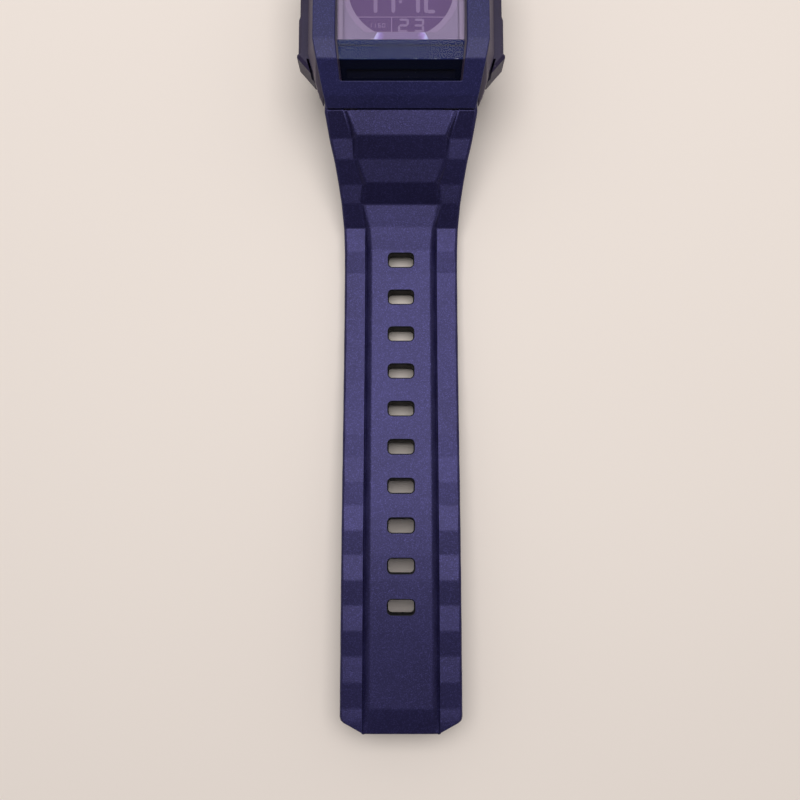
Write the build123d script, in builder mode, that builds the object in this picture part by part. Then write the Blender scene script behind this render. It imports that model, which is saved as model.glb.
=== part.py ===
from build123d import *
import os
from math import cos, radians, sin, sqrt

# Digital wristwatch with a faceted resin bezel, a solar window at each end of its
# one-piece glass, four side buttons and a resin strap with zigzag rails.
# Millimetres. The origin is the centre of the case back's outer face, +X points to
# 3 o'clock, +Y to 12 o'clock and +Z out of the face. The long strap lies along -Y.

# Layers of the head, from the case back up to the glass
back_thickness = 1.3
cushion_height = 1.3
cell_lift = 0.3
cell_height = 1.6
cell_board_gap = 0.4
board_thickness = 0.6
connector_height = 2.8
lcd_plate_thickness = 0.7
mask_lcd_gap = 0.2
mask_thickness = 0.3
mask_glass_gap = 0.7
glass_thickness = 1.6
glass_sink = 0.5
module_bottom_z = back_thickness + cushion_height
cell_bottom_z = module_bottom_z + cell_lift
module_floor_z = cell_bottom_z + cell_height + cell_board_gap
board_top_z = module_floor_z + board_thickness
lcd_bottom_z = board_top_z + connector_height
lcd_top_z = lcd_bottom_z + lcd_plate_thickness + lcd_plate_thickness
glass_bottom_depth = glass_sink + glass_thickness
mask_depth = glass_bottom_depth + mask_glass_gap
face_z = lcd_top_z + mask_lcd_gap + mask_thickness + mask_depth

# Module inside the case
module_half_x = 11.6
module_half_y = 14.5
module_corner = 2.5
module_side_wall = 0.9
module_end_wall = 1.2
module_fit = 0.15
module_roof_gap = 0.2
cell_rim = 3.6
cell_step = 0.9
cell_step_height = 0.25
cell_gap = 0.15
cell_clip_width = 4.0
cell_clip_thickness = 0.2
cell_clip_gap = 0.05
cell_radius = module_half_x - cell_rim
sounder_rim = 0.5
sounder_disc_thickness = 0.2
sounder_ceramic_rim = 2.5
sounder_ceramic_thickness = 0.15
sounder_radius = cell_radius - sounder_rim
sounder_ceramic_radius = sounder_radius - sounder_ceramic_rim
cushion_gap = 0.05
cushion_side_gap = 0.6
cushion_hole_gap = 0.4
board_half_x = module_half_x - module_side_wall - module_fit
board_half_y = module_half_y - module_end_wall - module_fit
lcd_side_gap = 0.1
lcd_seat_depth = 0.1
lcd_ledge = 1.7
lcd_half = module_half_x - module_side_wall - lcd_side_gap
module_top_z = lcd_bottom_z + lcd_seat_depth
backlight_thickness = 0.3
backlight_gap = 0.05
backlight_inset = 0.2
connector_inset = 1.0
connector_width = 1.4
connector_edge = 0.8
connector_y = lcd_half - connector_edge
main_chip_size = 6.0
side_chip_length = 3.0
side_chip_width = 2.0
side_chip_edge = 2.85
side_chip_y = 5.6
side_chip_x = board_half_x - side_chip_edge - side_chip_length / 2
chip_height = 0.7
quartz_radius = 0.75
quartz_length = 5.0
quartz_edge = 1.65
quartz_y = 5.8
quartz_x = board_half_x - quartz_edge - quartz_length / 2
contact_width = 2.4
contact_height = 2.8
contact_thickness = 0.2
contact_gap = 0.02
contact_press_gap = 0.08

# Dome that the bezel, the glass and the case share, as half of its side outline
flat_inset = 3.0
shoulder_run = 3.7
shoulder_drop = 0.45
slope_run = 5.1
slope_drop = 4.25
foot_run = 1.7
foot_drop = 2.2
crease_y = module_half_y - flat_inset
shoulder_y = crease_y + shoulder_run
shoulder_z = face_z - shoulder_drop
slope_end_y = shoulder_y + slope_run
slope_end_z = shoulder_z - slope_drop
bezel_end_y = slope_end_y + foot_run
bezel_end_z = slope_end_z - foot_drop

# Mask and solar cells under the glass, with the round display window
well_side_gap = 0.3
mask_edge_gap = 0.1
mask_shoulder_gap = 0.1
mask_seat_gap = 0.05
dial_inset = 0.5
dial_flat_inset = 1.25
solar_glass_gap = 0.4
solar_thickness = 0.3
solar_side_gap = 0.3
solar_shoulder_gap = 0.2
solar_end_gap = 0.1
display_half_x = lcd_half + well_side_gap
well_half_x = display_half_x + well_side_gap
well_depth = mask_depth + mask_thickness + mask_seat_gap
mask_end_y = shoulder_y - mask_shoulder_gap
dial_radius = lcd_half - dial_inset
dial_flat_y = dial_radius - dial_flat_inset
solar_depth = glass_bottom_depth + solar_glass_gap
solar_half_x = well_half_x - solar_side_gap
solar_start_y = shoulder_y + solar_shoulder_gap

# Bezel
window_rim = 1.1
window_taper = 0.7
window_end_run = 3.0
window_well_step = 1.0
bezel_side_width = 4.3
bezel_shoulder_inset = 0.7
bezel_foot_inset = 2.1
bezel_wall = 1.9
bezel_lip = 1.0
bezel_seat_gap = 0.1
window_half_x = well_half_x + window_rim
window_end_x = window_half_x - window_taper
window_end_y = shoulder_y + window_end_run
well_end_y = window_end_y - window_well_step
solar_end_y = well_end_y - solar_end_gap
bezel_half_x = window_half_x + bezel_side_width
bezel_shoulder_x = bezel_half_x - bezel_shoulder_inset
bezel_foot_x = bezel_half_x - bezel_foot_inset

# Glass and its seal
glass_side_gap = 0.35
glass_end_gap = 0.25
glass_seal_width = 0.3
glass_seal_floor = 0.35
glass_seal_drop = 0.6
seal_slip = 0.05
seal_ledge_width = 0.8
pocket_depth = glass_bottom_depth + glass_seal_floor

# Case: four levels of its skirt, from the foot to the top
skirt_step = 1.4
skirt_knee_inset = 2.0
skirt_tail_inset = 3.1
skirt_side_run = 0.5
skirt_knee_inset_y = 3.2
skirt_end_inset_y = 0.8
foot_inset = 2.1
foot_knee_inset = 1.6
foot_tail_inset = 1.1
foot_knee_inset_y = 2.2
foot_end_inset_y = 2.6
top_side_inset = 1.5
top_knee_inset = 1.3
top_tail_inset = 0.9
case_foot_z = 0.6
case_waist_z = 4.6
skirt_drop = 5.0
top_drop = 1.8
case_half_x = bezel_half_x + skirt_step
case_knee_x = case_half_x - skirt_knee_inset
case_tail_x = case_half_x - skirt_tail_inset
case_side_y = crease_y + skirt_side_run
case_knee_y = bezel_end_y - skirt_knee_inset_y
case_end_y = bezel_end_y - skirt_end_inset_y
case_foot_half_x = case_half_x - foot_inset
case_foot_knee_x = case_knee_x - foot_knee_inset
case_foot_tail_x = case_tail_x - foot_tail_inset
case_foot_knee_y = case_knee_y - foot_knee_inset_y
case_foot_end_y = case_end_y - foot_end_inset_y
case_top_half_x = case_half_x - top_side_inset
case_top_knee_x = case_knee_x - top_knee_inset
case_top_tail_x = case_tail_x - top_tail_inset
case_skirt_z = face_z - skirt_drop
case_top_z = face_z - top_drop
core_side = 1.6
core_end = 1.2
core_floor = 0.55
core_half_x = window_half_x + core_side
core_end_y = window_end_y + core_end
core_depth = pocket_depth + core_floor
cavity_side_gap = 2.0
cavity_end_gap = 0.5
cavity_corner = 4.0
cavity_half_x = module_half_x + cavity_side_gap
cavity_half_y = module_half_y + cavity_end_gap
cavity_top_z = module_top_z + module_roof_gap
display_end_step = 0.4
display_half_y = cavity_half_y - display_end_step

# Side guards that shield the buttons
button_inset_y = 2.7
button_y = case_side_y - button_inset_y
guard_bottom_z = 2.4
guard_top_rise = 0.2
guard_chamfer = 0.6
guard_waist_out = 1.5
guard_out = 1.75
guard_swell_out = 0.3
guard_step_run = 4.5
guard_waist_run = 0.8
guard_swell_run = 0.05
guard_shoulder_run = 0.35
guard_turn_run = 0.5
guard_tip_inset = 1.15
guard_root_inset = 1.8
guard_end_inset_y = 2.65
guard_slit_width = 0.45
guard_slit_depth = 3.0
guard_slit_run = 1.0
guard_top_z = case_skirt_z + guard_top_rise
guard_waist_x = case_half_x + guard_waist_out
guard_half_x = case_half_x + guard_out
guard_swell_x = guard_half_x + guard_swell_out
guard_step_y = button_y - guard_step_run
guard_waist_y = guard_step_y - guard_waist_run
guard_swell_y = crease_y + guard_swell_run
guard_shoulder_y = guard_swell_y + guard_shoulder_run
guard_turn_y = guard_shoulder_y + guard_turn_run
guard_tip_x = case_half_x - guard_tip_inset
guard_root_x = case_half_x - guard_root_inset
guard_tip_y = case_knee_y - guard_end_inset_y
guard_slit_start_y = guard_shoulder_y + guard_slit_run

# Buttons
button_z = 5.0
button_cap_radius = 1.95
button_cap_height = 1.6
button_cap_skin = 0.6
button_cap_round = 0.3
button_face_inset = 0.4
button_travel = 0.9
button_stop_gap = 0.15
button_recess_gap = 0.15
button_shaft_radius = 0.8
button_shaft_gap = 0.05
spring_seat_depth = 1.1
spring_seat_radius = 1.5
spring_outer_gap = 0.15
spring_wire_radius = 0.13
spring_turns = 4
spring_end_gap = 0.02
ring_wire_radius = 0.28
ring_shaft_gap = 0.03
ring_seat_inset = 0.65
ring_seat_width = 0.7
ring_seat_gap = 0.03
clip_radius = 1.6
clip_thickness = 0.25
clip_wall_gap = 0.1
clip_groove_depth = 0.2
clip_mouth = 0.9
button_face_x = guard_half_x - button_face_inset
button_shaft_end_x = (module_half_x + contact_gap + contact_thickness + contact_press_gap
                      + button_travel)
spring_outer_radius = spring_seat_radius - spring_outer_gap

# Case back
back_side_land = 1.4
back_end_land = 2.0
back_corner = 3.5
back_gap = 0.1
back_edge_round = 0.3
back_seal_inset = 0.2
back_seal_width = 0.7
back_seal_height = 0.55
back_groove_depth = 0.6
back_seal_gap = 0.03
screw_inset_x = 2.3
screw_inset_y = 2.0
screw_head_radius = 1.1
screw_head_height = 0.5
screw_head_sink = 0.1
screw_radius = 0.6
screw_length = 3.6
screw_gap = 0.02
screw_head_gap = 0.05
screw_slot_width = 0.3
screw_slot_depth = 0.25
back_half_x = cavity_half_x + back_side_land
back_half_y = cavity_half_y + back_end_land
screw_x = back_half_x - screw_inset_x
screw_y = back_half_y - screw_inset_y

# Spring bars and lugs
bar_inset_y = 1.6
bar_axis_z = 3.2
lug_inner_x = 8.3
lug_width = 2.7
lug_radius = 2.2
lug_bore_gap = 0.05
bar_tube_radius = 0.75
bar_tube_bore = 0.5
bar_tube_inset = 0.4
bar_tip_radius = 0.45
bar_tip_reach = 1.1
bar_tip_length = 4.2
bar_flange_radius = 0.7
bar_flange_width = 0.25
bar_flange_gap = 0.05
bar_spring_wire = 0.08
bar_spring_gap = 0.1
bar_spring_pitch = 0.85
bar_axis_y = bezel_end_y - bar_inset_y

# Strap, shared by both halves
strap_half_x = 11.45
strap_root_inset = 0.05
strap_root_run = 1.8
strap_thickness = 3.9
knuckle_radius = 2.6
knuckle_gap = 0.4
knuckle_side_gap = 0.2
knuckle_bore_gap = 0.1
lug_side_gap = 0.2
lug_round_gap = 0.3
root_facet_length = 4.5
facet_length = 4.68
steep_facets = 5
plank_half_x = 6.0
plank_root_inset = 4.65
plank_bevel = 1.05
root_bevel = 0.8
groove_drop = 1.0
groove_width = 0.2
rail_peak_drop = 0.25
rail_valley_drop = 0.85
rail_fall = 0.06
root_groove = 0.12
strap_edge = 0.4
root_facets = 6
straight_facets = 4
strap_root_half_x = case_tail_x - strap_root_inset
strap_root_y = bar_axis_y + strap_root_run
plank_root_half_x = strap_root_half_x - plank_root_inset

# Angles of the facets below the horizontal, in degrees, from the case outward
root_slopes = [-17, -34, -22, -40, -12, -8, -3]
long_tail_slopes = [0, 2, 3, 4, 5, 5.5, 6, 6, 6, 5.5, 5, 4, 3, 2, 1.5, 1, 1, 1.5, 1]
short_tail_slopes = [6, 9, 8] + [0] * straight_facets
root_rail_slopes = [-38, -17, -34, -17, -34, 3]

# How far each station of the root has come from the strap's width to the root's
flare_shares = [1.0, 0.78, 0.52, 0.31, 0.16, 0.055]
plank_shares = [1.0, 0.67, 0.62, 0.24, 0.35, 0.10]
thickness_shares = [1.0, 0.8, 0.6, 0.4, 0.2, 0.0]

# Long strap
hole_count = 10
hole_start = 29.2
hole_pitch = 7.6
hole_length = 4.95
hole_width = 2.7
hole_round = 0.75
tip_corner_x = 4.15
tip_corner_y = 2.85
tip_bevel_drop = 0.9

# Short strap, buckle and keeper
buckle_bar_radius = 0.75
buckle_bar_end_inset = 0.55
buckle_bore_gap = 0.05
buckle_side_gap = 0.35
buckle_arm_width = 2.15
buckle_thickness = 2.6
buckle_reach = 10.2
buckle_rail_width = 3.0
buckle_corner = 1.8
buckle_edge = 0.4
bar_fit = 0.03
tongue_width = 4.6
tongue_thickness = 1.3
tongue_eye_radius = 1.45
tongue_rest_gap = 0.1
tongue_overhang = 0.7
tongue_lift_start = 3.2
tongue_nose = 0.45
tongue_slot_gap = 0.2
tongue_slot_depth = 3.2
keeper_wall = 1.2
keeper_length = 7.0
keeper_side_gap = 0.4
keeper_floor_gap = 0.3
keeper_headroom = 4.4
keeper_corner = 0.5
keeper_start_gap = 0.6
keeper_travel = 3.5

# One overrun serves every cut, and one reach spans the whole head
overrun = 1.0
head_reach = guard_swell_x + overrun

os.makedirs("parts", exist_ok=True)

dome_corners = [
    (0, face_z),
    (crease_y, face_z),
    (shoulder_y, shoulder_z),
    (slope_end_y, slope_end_z),
    (bezel_end_y, bezel_end_z),
]


def four_way(quarter):
    """Closed outline from its corners in the first quarter, mirrored in both axes."""
    right = [(x, -y) for x, y in reversed(quarter)] + list(quarter)
    return right + [(-x, -y) for x, y in right]


def dome_outline(depth, end_y, foot_z):
    """Side outline of the dome, moved inward by depth and closed off at its foot."""
    lines = []
    for (y0, z0), (y1, z1) in zip(dome_corners, dome_corners[1:]):
        slope = (z1 - z0) / (y1 - y0)
        lines.append((slope, z0 - slope * y0 - depth * sqrt(1 + slope**2)))
    half = []
    for (slope_a, rise_a), (slope_b, rise_b) in zip(lines, lines[1:]):
        y = (rise_b - rise_a) / (slope_a - slope_b)
        half.append((y, slope_a * y + rise_a))
    last_slope, last_rise = lines[-1]
    half.append((end_y, last_slope * end_y + last_rise))
    half.append((end_y, foot_z))
    return half + [(-y, z) for y, z in reversed(half)]


def add_dome(depth, mode=Mode.ADD, end_y=None, foot_z=bezel_end_z):
    """Dome across the whole head, with its skin moved inward by depth."""
    end = bezel_end_y - depth if end_y is None else end_y
    with BuildSketch(Plane.YZ) as side:
        Polygon(*dome_outline(depth, end, foot_z))
    extrude(side.sketch, amount=head_reach, both=True, mode=mode)


def add_upright(outline, bottom, top, mode=Mode.ADD, grow=0):
    """Upright block on a plan outline, which may be grown all round."""
    with BuildSketch(Plane.XY.offset(bottom)) as plan:
        Polygon(*outline)
        if grow:
            offset(amount=grow, kind=Kind.INTERSECTION)
    extrude(plan.sketch, amount=top - bottom, mode=mode)


def add_rod(radius, y, z, x_from, x_to, mode=Mode.ADD):
    """Round rod along X."""
    with BuildSketch(Plane.YZ.offset(x_from)) as disc:
        with Locations((y, z)):
            Circle(radius)
    extrude(disc.sketch, amount=x_to - x_from, mode=mode)


def add_disc(radius, x, y, bottom, top, mode=Mode.ADD):
    """Round upright disc or hole."""
    with BuildSketch(Plane.XY.offset(bottom)) as disc:
        with Locations((x, y)):
            Circle(radius)
    extrude(disc.sketch, amount=top - bottom, mode=mode)


def add_profile(points, x_from, x_to, mode=Mode.ADD):
    """Block along X on an outline drawn in Y and Z."""
    with BuildSketch(Plane.YZ.offset(x_from)) as side:
        Polygon(*points)
    extrude(side.sketch, amount=x_to - x_from, mode=mode)


def dome_shell(outline, top_depth, bottom_depth, hole=None, foot_z=bezel_end_z):
    """Layer of the dome between two depths, inside a plan outline."""
    with BuildPart() as shell:
        add_dome(top_depth, foot_z=foot_z)
        add_dome(bottom_depth, mode=Mode.SUBTRACT, foot_z=foot_z - overrun)
        add_upright(outline, foot_z - overrun, face_z + overrun, mode=Mode.INTERSECT)
        if hole:
            add_upright(hole, foot_z - overrun, face_z + overrun, mode=Mode.SUBTRACT)
    return shell.part


def save(builder, name):
    """Label a finished piece and write it to its own file."""
    builder.part.label = name
    export_step(builder.part, f"parts/{name}.step")


# Plan outlines of the head
bezel_outline = four_way([
    (bezel_half_x, crease_y),
    (bezel_shoulder_x, shoulder_y),
    (bezel_foot_x, bezel_end_y),
])
window_outline = four_way([(window_half_x, crease_y), (window_end_x, window_end_y)])
glass_half_x = window_half_x - glass_side_gap
glass_end_x = window_end_x - glass_side_gap
glass_end_y = window_end_y - glass_end_gap
glass_outline = four_way([(glass_half_x, crease_y), (glass_end_x, glass_end_y)])
ledge_outline = four_way([
    (glass_half_x - seal_ledge_width, crease_y),
    (glass_end_x - seal_ledge_width, glass_end_y - seal_ledge_width),
])
pocket_outline = four_way([
    (glass_half_x + glass_seal_width, crease_y),
    (glass_end_x + glass_seal_width, glass_end_y + glass_seal_width),
])
seal_inner_outline = four_way([
    (glass_half_x + seal_slip, crease_y),
    (glass_end_x + seal_slip, glass_end_y + seal_slip),
])
core_outline = four_way([(core_half_x, core_end_y)])
bezel_step_outline = four_way([(core_half_x + bezel_seat_gap, core_end_y + bezel_seat_gap)])
cavity_outline = four_way([
    (cavity_half_x, cavity_half_y - cavity_corner),
    (cavity_half_x - cavity_corner, cavity_half_y),
])

case_skin_depth = bezel_wall + bezel_seat_gap
core_skin_depth = bezel_lip + bezel_seat_gap

# Bezel: one resin moulding with a thin lip round the window
bezel_step = dome_shell(bezel_step_outline, bezel_lip, case_skin_depth)
with BuildPart() as bezel:
    add_dome(0)
    add_dome(bezel_wall, mode=Mode.SUBTRACT, foot_z=bezel_end_z - overrun)
    add_upright(bezel_outline, 0, face_z + overrun, mode=Mode.INTERSECT)
    add(bezel_step, mode=Mode.SUBTRACT)
    add_upright(window_outline, 0, face_z + overrun, mode=Mode.SUBTRACT)
save(bezel, "bezel")

# Glass: one faceted plate that follows the dome
with BuildPart() as crystal:
    add(dome_shell(glass_outline, glass_sink, glass_bottom_depth))
save(crystal, "crystal")

# Seal: an L-shaped ring round the glass and under its edge
glass_space = dome_shell(seal_inner_outline, 0, glass_bottom_depth)
with BuildPart() as crystal_gasket:
    add(dome_shell(pocket_outline, glass_sink + glass_seal_drop, pocket_depth, hole=ledge_outline))
    add(glass_space, mode=Mode.SUBTRACT)
save(crystal_gasket, "crystal_gasket")

# Mask under the glass, with the round display window cut flat at both ends
with BuildPart() as dial_mask:
    add(dome_shell(
        four_way([(well_half_x - mask_edge_gap, mask_end_y)]),
        mask_depth,
        mask_depth + mask_thickness,
    ))
    with BuildSketch(Plane.XY.offset(module_top_z)):
        Circle(dial_radius)
        Rectangle(dial_radius + dial_radius, dial_flat_y + dial_flat_y, mode=Mode.INTERSECT)
    extrude(amount=face_z - module_top_z, mode=Mode.SUBTRACT)
save(dial_mask, "dial_mask")

# Solar cells: one strip under the steep end facet of the glass at each end
with BuildPart() as solar_cells:
    add(dome_shell(
        four_way([(solar_half_x, solar_end_y)]),
        solar_depth,
        solar_depth + solar_thickness,
        hole=four_way([(solar_half_x + overrun, solar_start_y)]),
    ))
save(solar_cells, "solar_cells")

# Side guard of the case, on the +X side, with its slit beside the skirt
guard_half = [
    (guard_waist_x, guard_waist_y),
    (guard_half_x, guard_step_y),
    (guard_half_x, guard_swell_y),
    (guard_swell_x, guard_shoulder_y),
    (guard_swell_x, guard_turn_y),
    (guard_tip_x, guard_tip_y),
    (guard_root_x, guard_tip_y),
]
guard_outline = [(x, -y) for x, y in reversed(guard_half)] + guard_half


def skirt_x(y):
    """Half width of the skirt at its widest level, between its side and its knee."""
    share = (y - case_side_y) / (case_knee_y - case_side_y)
    return case_half_x + (case_knee_x - case_half_x) * share


guard_slit_end_y = guard_tip_y + overrun
slit_outline = [
    (skirt_x(guard_slit_start_y), guard_slit_start_y),
    (skirt_x(guard_slit_start_y) + guard_slit_width, guard_slit_start_y),
    (skirt_x(guard_slit_end_y) + guard_slit_width, guard_slit_end_y),
    (skirt_x(guard_slit_end_y), guard_slit_end_y),
]
with BuildPart() as side_guard:
    add_upright(guard_outline, guard_bottom_z, guard_top_z)
    rim = side_guard.faces().sort_by(Axis.Z)[-1].edges()
    chamfer(rim.filter_by(lambda edge: edge.center().X > guard_tip_x), length=guard_chamfer)
    for sign in (-1, 1):
        add_upright(
            [(x, sign * y) for x, y in slit_outline],
            guard_top_z - guard_slit_depth,
            guard_top_z + overrun,
            mode=Mode.SUBTRACT,
        )


def cavity_ring(inner, outer, height):
    """Ring on the case back's seat, between two outlines grown from the cavity's."""
    with BuildPart() as ring:
        add_upright(cavity_outline, back_thickness, back_thickness + height, grow=outer)
        add_upright(cavity_outline, back_thickness, back_thickness + height, grow=inner,
                    mode=Mode.SUBTRACT)
    return ring.part


# Solid core of the case that reaches up under the bezel's lip
case_core = dome_shell(core_outline, core_skin_depth, core_depth)
glass_pocket = dome_shell(pocket_outline, -overrun, pocket_depth)
display_well = dome_shell(four_way([(well_half_x, well_end_y)]), 0, well_depth)
seal_groove = cavity_ring(back_seal_inset, back_seal_inset + back_seal_width, back_groove_depth)

button_inner_x = button_face_x - button_cap_height
button_floor_x = button_inner_x - button_travel - button_stop_gap
spring_seat_x = button_floor_x - spring_seat_depth
spring_top_x = button_face_x - button_cap_skin
ring_seat_x = spring_seat_x - ring_seat_inset - ring_seat_width
ring_major_radius = button_shaft_radius + ring_shaft_gap + ring_wire_radius
ring_seat_radius = ring_major_radius + ring_wire_radius + ring_seat_gap
recess_half_x = strap_root_half_x + knuckle_side_gap
recess_radius = knuckle_radius + knuckle_gap
lug_outer_x = lug_inner_x + lug_width
lug_bore = bar_tip_radius + lug_bore_gap

case_levels = [
    (case_foot_z, (case_foot_half_x, case_side_y), (case_foot_knee_x, case_foot_knee_y),
     (case_foot_tail_x, case_foot_end_y)),
    (case_waist_z, (case_half_x, case_side_y), (case_knee_x, case_knee_y),
     (case_tail_x, case_end_y)),
    (case_skirt_z, (case_half_x, case_side_y), (case_knee_x, case_knee_y),
     (case_tail_x, case_end_y)),
    (case_top_z, (case_top_half_x, case_side_y), (case_top_knee_x, case_knee_y),
     (case_top_tail_x, case_end_y)),
]

# Case: resin body with the skirt, the guards, the lugs and the module's cavity
with BuildPart() as case_body:
    for level_z, side, knee, tail in case_levels:
        with BuildSketch(Plane.XY.offset(level_z)):
            Polygon(*four_way([side, knee, tail]))
    loft(ruled=True)
    add(side_guard.part)
    add(side_guard.part.mirror(Plane.YZ))
    add_dome(case_skin_depth, mode=Mode.INTERSECT, end_y=case_end_y, foot_z=0)
    add(case_core)
    # Room for the strap's knuckles, then the lugs inside it
    for sign in (-1, 1):
        add_rod(recess_radius, sign * bar_axis_y, bar_axis_z, -recess_half_x, recess_half_x,
                mode=Mode.SUBTRACT)
        recess_top = bar_axis_z + recess_radius
        add_profile(
            [
                (sign * bar_axis_y, case_foot_z - overrun),
                (sign * (case_end_y + overrun), case_foot_z - overrun),
                (sign * (case_end_y + overrun), recess_top),
                (sign * bar_axis_y, recess_top),
            ],
            -recess_half_x,
            recess_half_x,
            mode=Mode.SUBTRACT,
        )
        for start_x in (-lug_outer_x, lug_inner_x):
            add_rod(lug_radius, sign * bar_axis_y, bar_axis_z, start_x, start_x + lug_width)
            add_profile(
                [
                    (sign * cavity_half_y, bar_axis_z - lug_radius),
                    (sign * bar_axis_y, bar_axis_z - lug_radius),
                    (sign * bar_axis_y, bar_axis_z + lug_radius),
                    (sign * cavity_half_y, bar_axis_z + lug_radius),
                ],
                start_x,
                start_x + lug_width,
            )
            add_rod(lug_bore, sign * bar_axis_y, bar_axis_z, start_x, start_x + lug_width,
                    mode=Mode.SUBTRACT)
    # Pocket of the glass, well of the mask and the module's cavity
    add(glass_pocket, mode=Mode.SUBTRACT)
    add(display_well, mode=Mode.SUBTRACT)
    add_upright(four_way([(display_half_x, display_half_y)]), back_thickness, face_z,
                mode=Mode.SUBTRACT)
    add_upright(cavity_outline, 0, cavity_top_z, mode=Mode.SUBTRACT)
    # Seat of the case back, with the groove of its seal and the screw holes
    with BuildSketch(Plane.XY.offset(-overrun)) as back_seat:
        RectangleRounded(
            back_half_x + back_half_x + back_gap + back_gap,
            back_half_y + back_half_y + back_gap + back_gap,
            back_corner + back_gap,
        )
    extrude(amount=back_thickness + overrun, mode=Mode.SUBTRACT)
    add(seal_groove, mode=Mode.SUBTRACT)
    for x in (-screw_x, screw_x):
        for y in (-screw_y, screw_y):
            add_disc(screw_radius + screw_gap, x, y, 0, screw_head_sink + screw_head_height
                     + screw_length + screw_gap, mode=Mode.SUBTRACT)
    # Stepped bores of the four buttons
    for side in (-1, 1):
        for y in (-button_y, button_y):
            add_rod(button_cap_radius + button_recess_gap, y, button_z,
                    side * button_floor_x, side * head_reach, mode=Mode.SUBTRACT)
            add_rod(spring_seat_radius, y, button_z,
                    side * spring_seat_x, side * button_floor_x, mode=Mode.SUBTRACT)
            add_rod(button_shaft_radius + button_shaft_gap, y, button_z,
                    side * (cavity_half_x - overrun), side * spring_seat_x, mode=Mode.SUBTRACT)
            add_rod(ring_seat_radius, y, button_z,
                    side * ring_seat_x, side * (ring_seat_x + ring_seat_width),
                    mode=Mode.SUBTRACT)
save(case_body, "case_body")

# Case back: a steel plate with four countersunk screws
with BuildPart() as case_back:
    with BuildSketch():
        RectangleRounded(back_half_x + back_half_x, back_half_y + back_half_y, back_corner)
    extrude(amount=back_thickness)
    chamfer(case_back.faces().sort_by(Axis.Z)[0].edges(), length=back_edge_round)
    for x in (-screw_x, screw_x):
        for y in (-screw_y, screw_y):
            add_disc(screw_head_radius + screw_head_gap, x, y, 0,
                     screw_head_sink + screw_head_height, mode=Mode.SUBTRACT)
            add_disc(screw_radius + screw_head_gap, x, y, 0, back_thickness,
                     mode=Mode.SUBTRACT)
save(case_back, "case_back")

with BuildPart() as case_back_screws:
    for x in (-screw_x, screw_x):
        for y in (-screw_y, screw_y):
            head_top = screw_head_sink + screw_head_height
            add_disc(screw_head_radius, x, y, screw_head_sink, head_top)
            add_disc(screw_radius, x, y, head_top, head_top + screw_length)
            with BuildSketch(Plane.XY.offset(screw_head_sink)) as slot:
                with Locations((x, y)):
                    Rectangle(screw_head_radius + screw_head_radius, screw_slot_width)
                    Rectangle(screw_slot_width, screw_head_radius + screw_head_radius)
                    Circle(screw_head_radius - screw_slot_width, mode=Mode.INTERSECT)
            extrude(slot.sketch, amount=screw_slot_depth, mode=Mode.SUBTRACT)
save(case_back_screws, "case_back_screws")

# Seal of the case back, in its groove
with BuildPart() as back_gasket:
    add(cavity_ring(back_seal_inset + back_seal_gap,
                    back_seal_inset + back_seal_width - back_seal_gap, back_seal_height))
save(back_gasket, "back_gasket")

# Sounder: a brass disc with a ceramic disc on it, on the inside of the case back
with BuildPart() as piezo_element:
    sounder_top = back_thickness + sounder_disc_thickness
    add_disc(sounder_radius, 0, 0, back_thickness, sounder_top)
    add_disc(sounder_ceramic_radius, 0, 0, sounder_top, sounder_top + sounder_ceramic_thickness)
save(piezo_element, "piezo_element")


def module_outline(inset):
    """Plan outline of the module's frame, drawn in by an inset."""
    return four_way([
        (module_half_x - inset, module_half_y - module_corner - inset),
        (module_half_x - module_corner - inset, module_half_y - inset),
    ])


# Cushion between the case back and the module
with BuildPart() as module_cushion:
    add_upright(module_outline(cushion_side_gap), back_thickness + cushion_gap,
                module_bottom_z - cushion_gap)
    add_disc(sounder_radius + cushion_hole_gap, 0, 0, back_thickness, module_bottom_z,
             mode=Mode.SUBTRACT)
save(module_cushion, "module_cushion")

# Module frame: a floor with the cell's well, and a wall round the board
with BuildPart() as module_frame:
    add_upright(module_outline(0), module_bottom_z, module_top_z)
    add_upright(
        four_way([
            (module_half_x - module_side_wall, module_half_y - module_corner - module_end_wall),
            (module_half_x - module_corner - module_side_wall, module_half_y - module_end_wall),
        ]),
        module_floor_z,
        module_top_z,
        mode=Mode.SUBTRACT,
    )
    add_disc(cell_radius + cell_gap, 0, 0, module_bottom_z, module_floor_z, mode=Mode.SUBTRACT)
save(module_frame, "module_frame")

# Circuit board, with its chips and quartz can on top
with BuildPart() as circuit_board:
    add_upright(
        four_way([
            (board_half_x, board_half_y - module_corner),
            (board_half_x - module_corner, board_half_y),
        ]),
        module_floor_z,
        board_top_z,
    )
save(circuit_board, "circuit_board")

with BuildPart() as module_chips:
    with BuildSketch(Plane.XY.offset(board_top_z)):
        Rectangle(main_chip_size, main_chip_size)
        with Locations((-side_chip_x, side_chip_y), (-side_chip_x, -side_chip_y),
                       (side_chip_x, -side_chip_y)):
            Rectangle(side_chip_length, side_chip_width)
    extrude(amount=chip_height)
save(module_chips, "module_chips")

with BuildPart() as quartz_resonator:
    half = quartz_length / 2
    add_rod(quartz_radius, quartz_y, board_top_z + quartz_radius, quartz_x - half, quartz_x + half)
save(quartz_resonator, "quartz_resonator")

# Rechargeable cell, stepped at its lower face, and the clip under it
with BuildPart() as storage_cell:
    add_disc(cell_radius - cell_step, 0, 0, cell_bottom_z, cell_bottom_z + cell_step_height)
    add_disc(cell_radius, 0, 0, cell_bottom_z + cell_step_height, cell_bottom_z + cell_height)
save(storage_cell, "storage_cell")

with BuildPart() as cell_clip:
    clip_top = cell_bottom_z - cell_clip_gap
    with BuildSketch(Plane.XY.offset(clip_top - cell_clip_thickness)):
        Circle(cell_radius + cell_gap - cell_clip_gap)
        Rectangle(cell_radius + cell_radius + overrun, cell_clip_width, mode=Mode.INTERSECT)
    extrude(amount=cell_clip_thickness)
save(cell_clip, "cell_clip")

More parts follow.
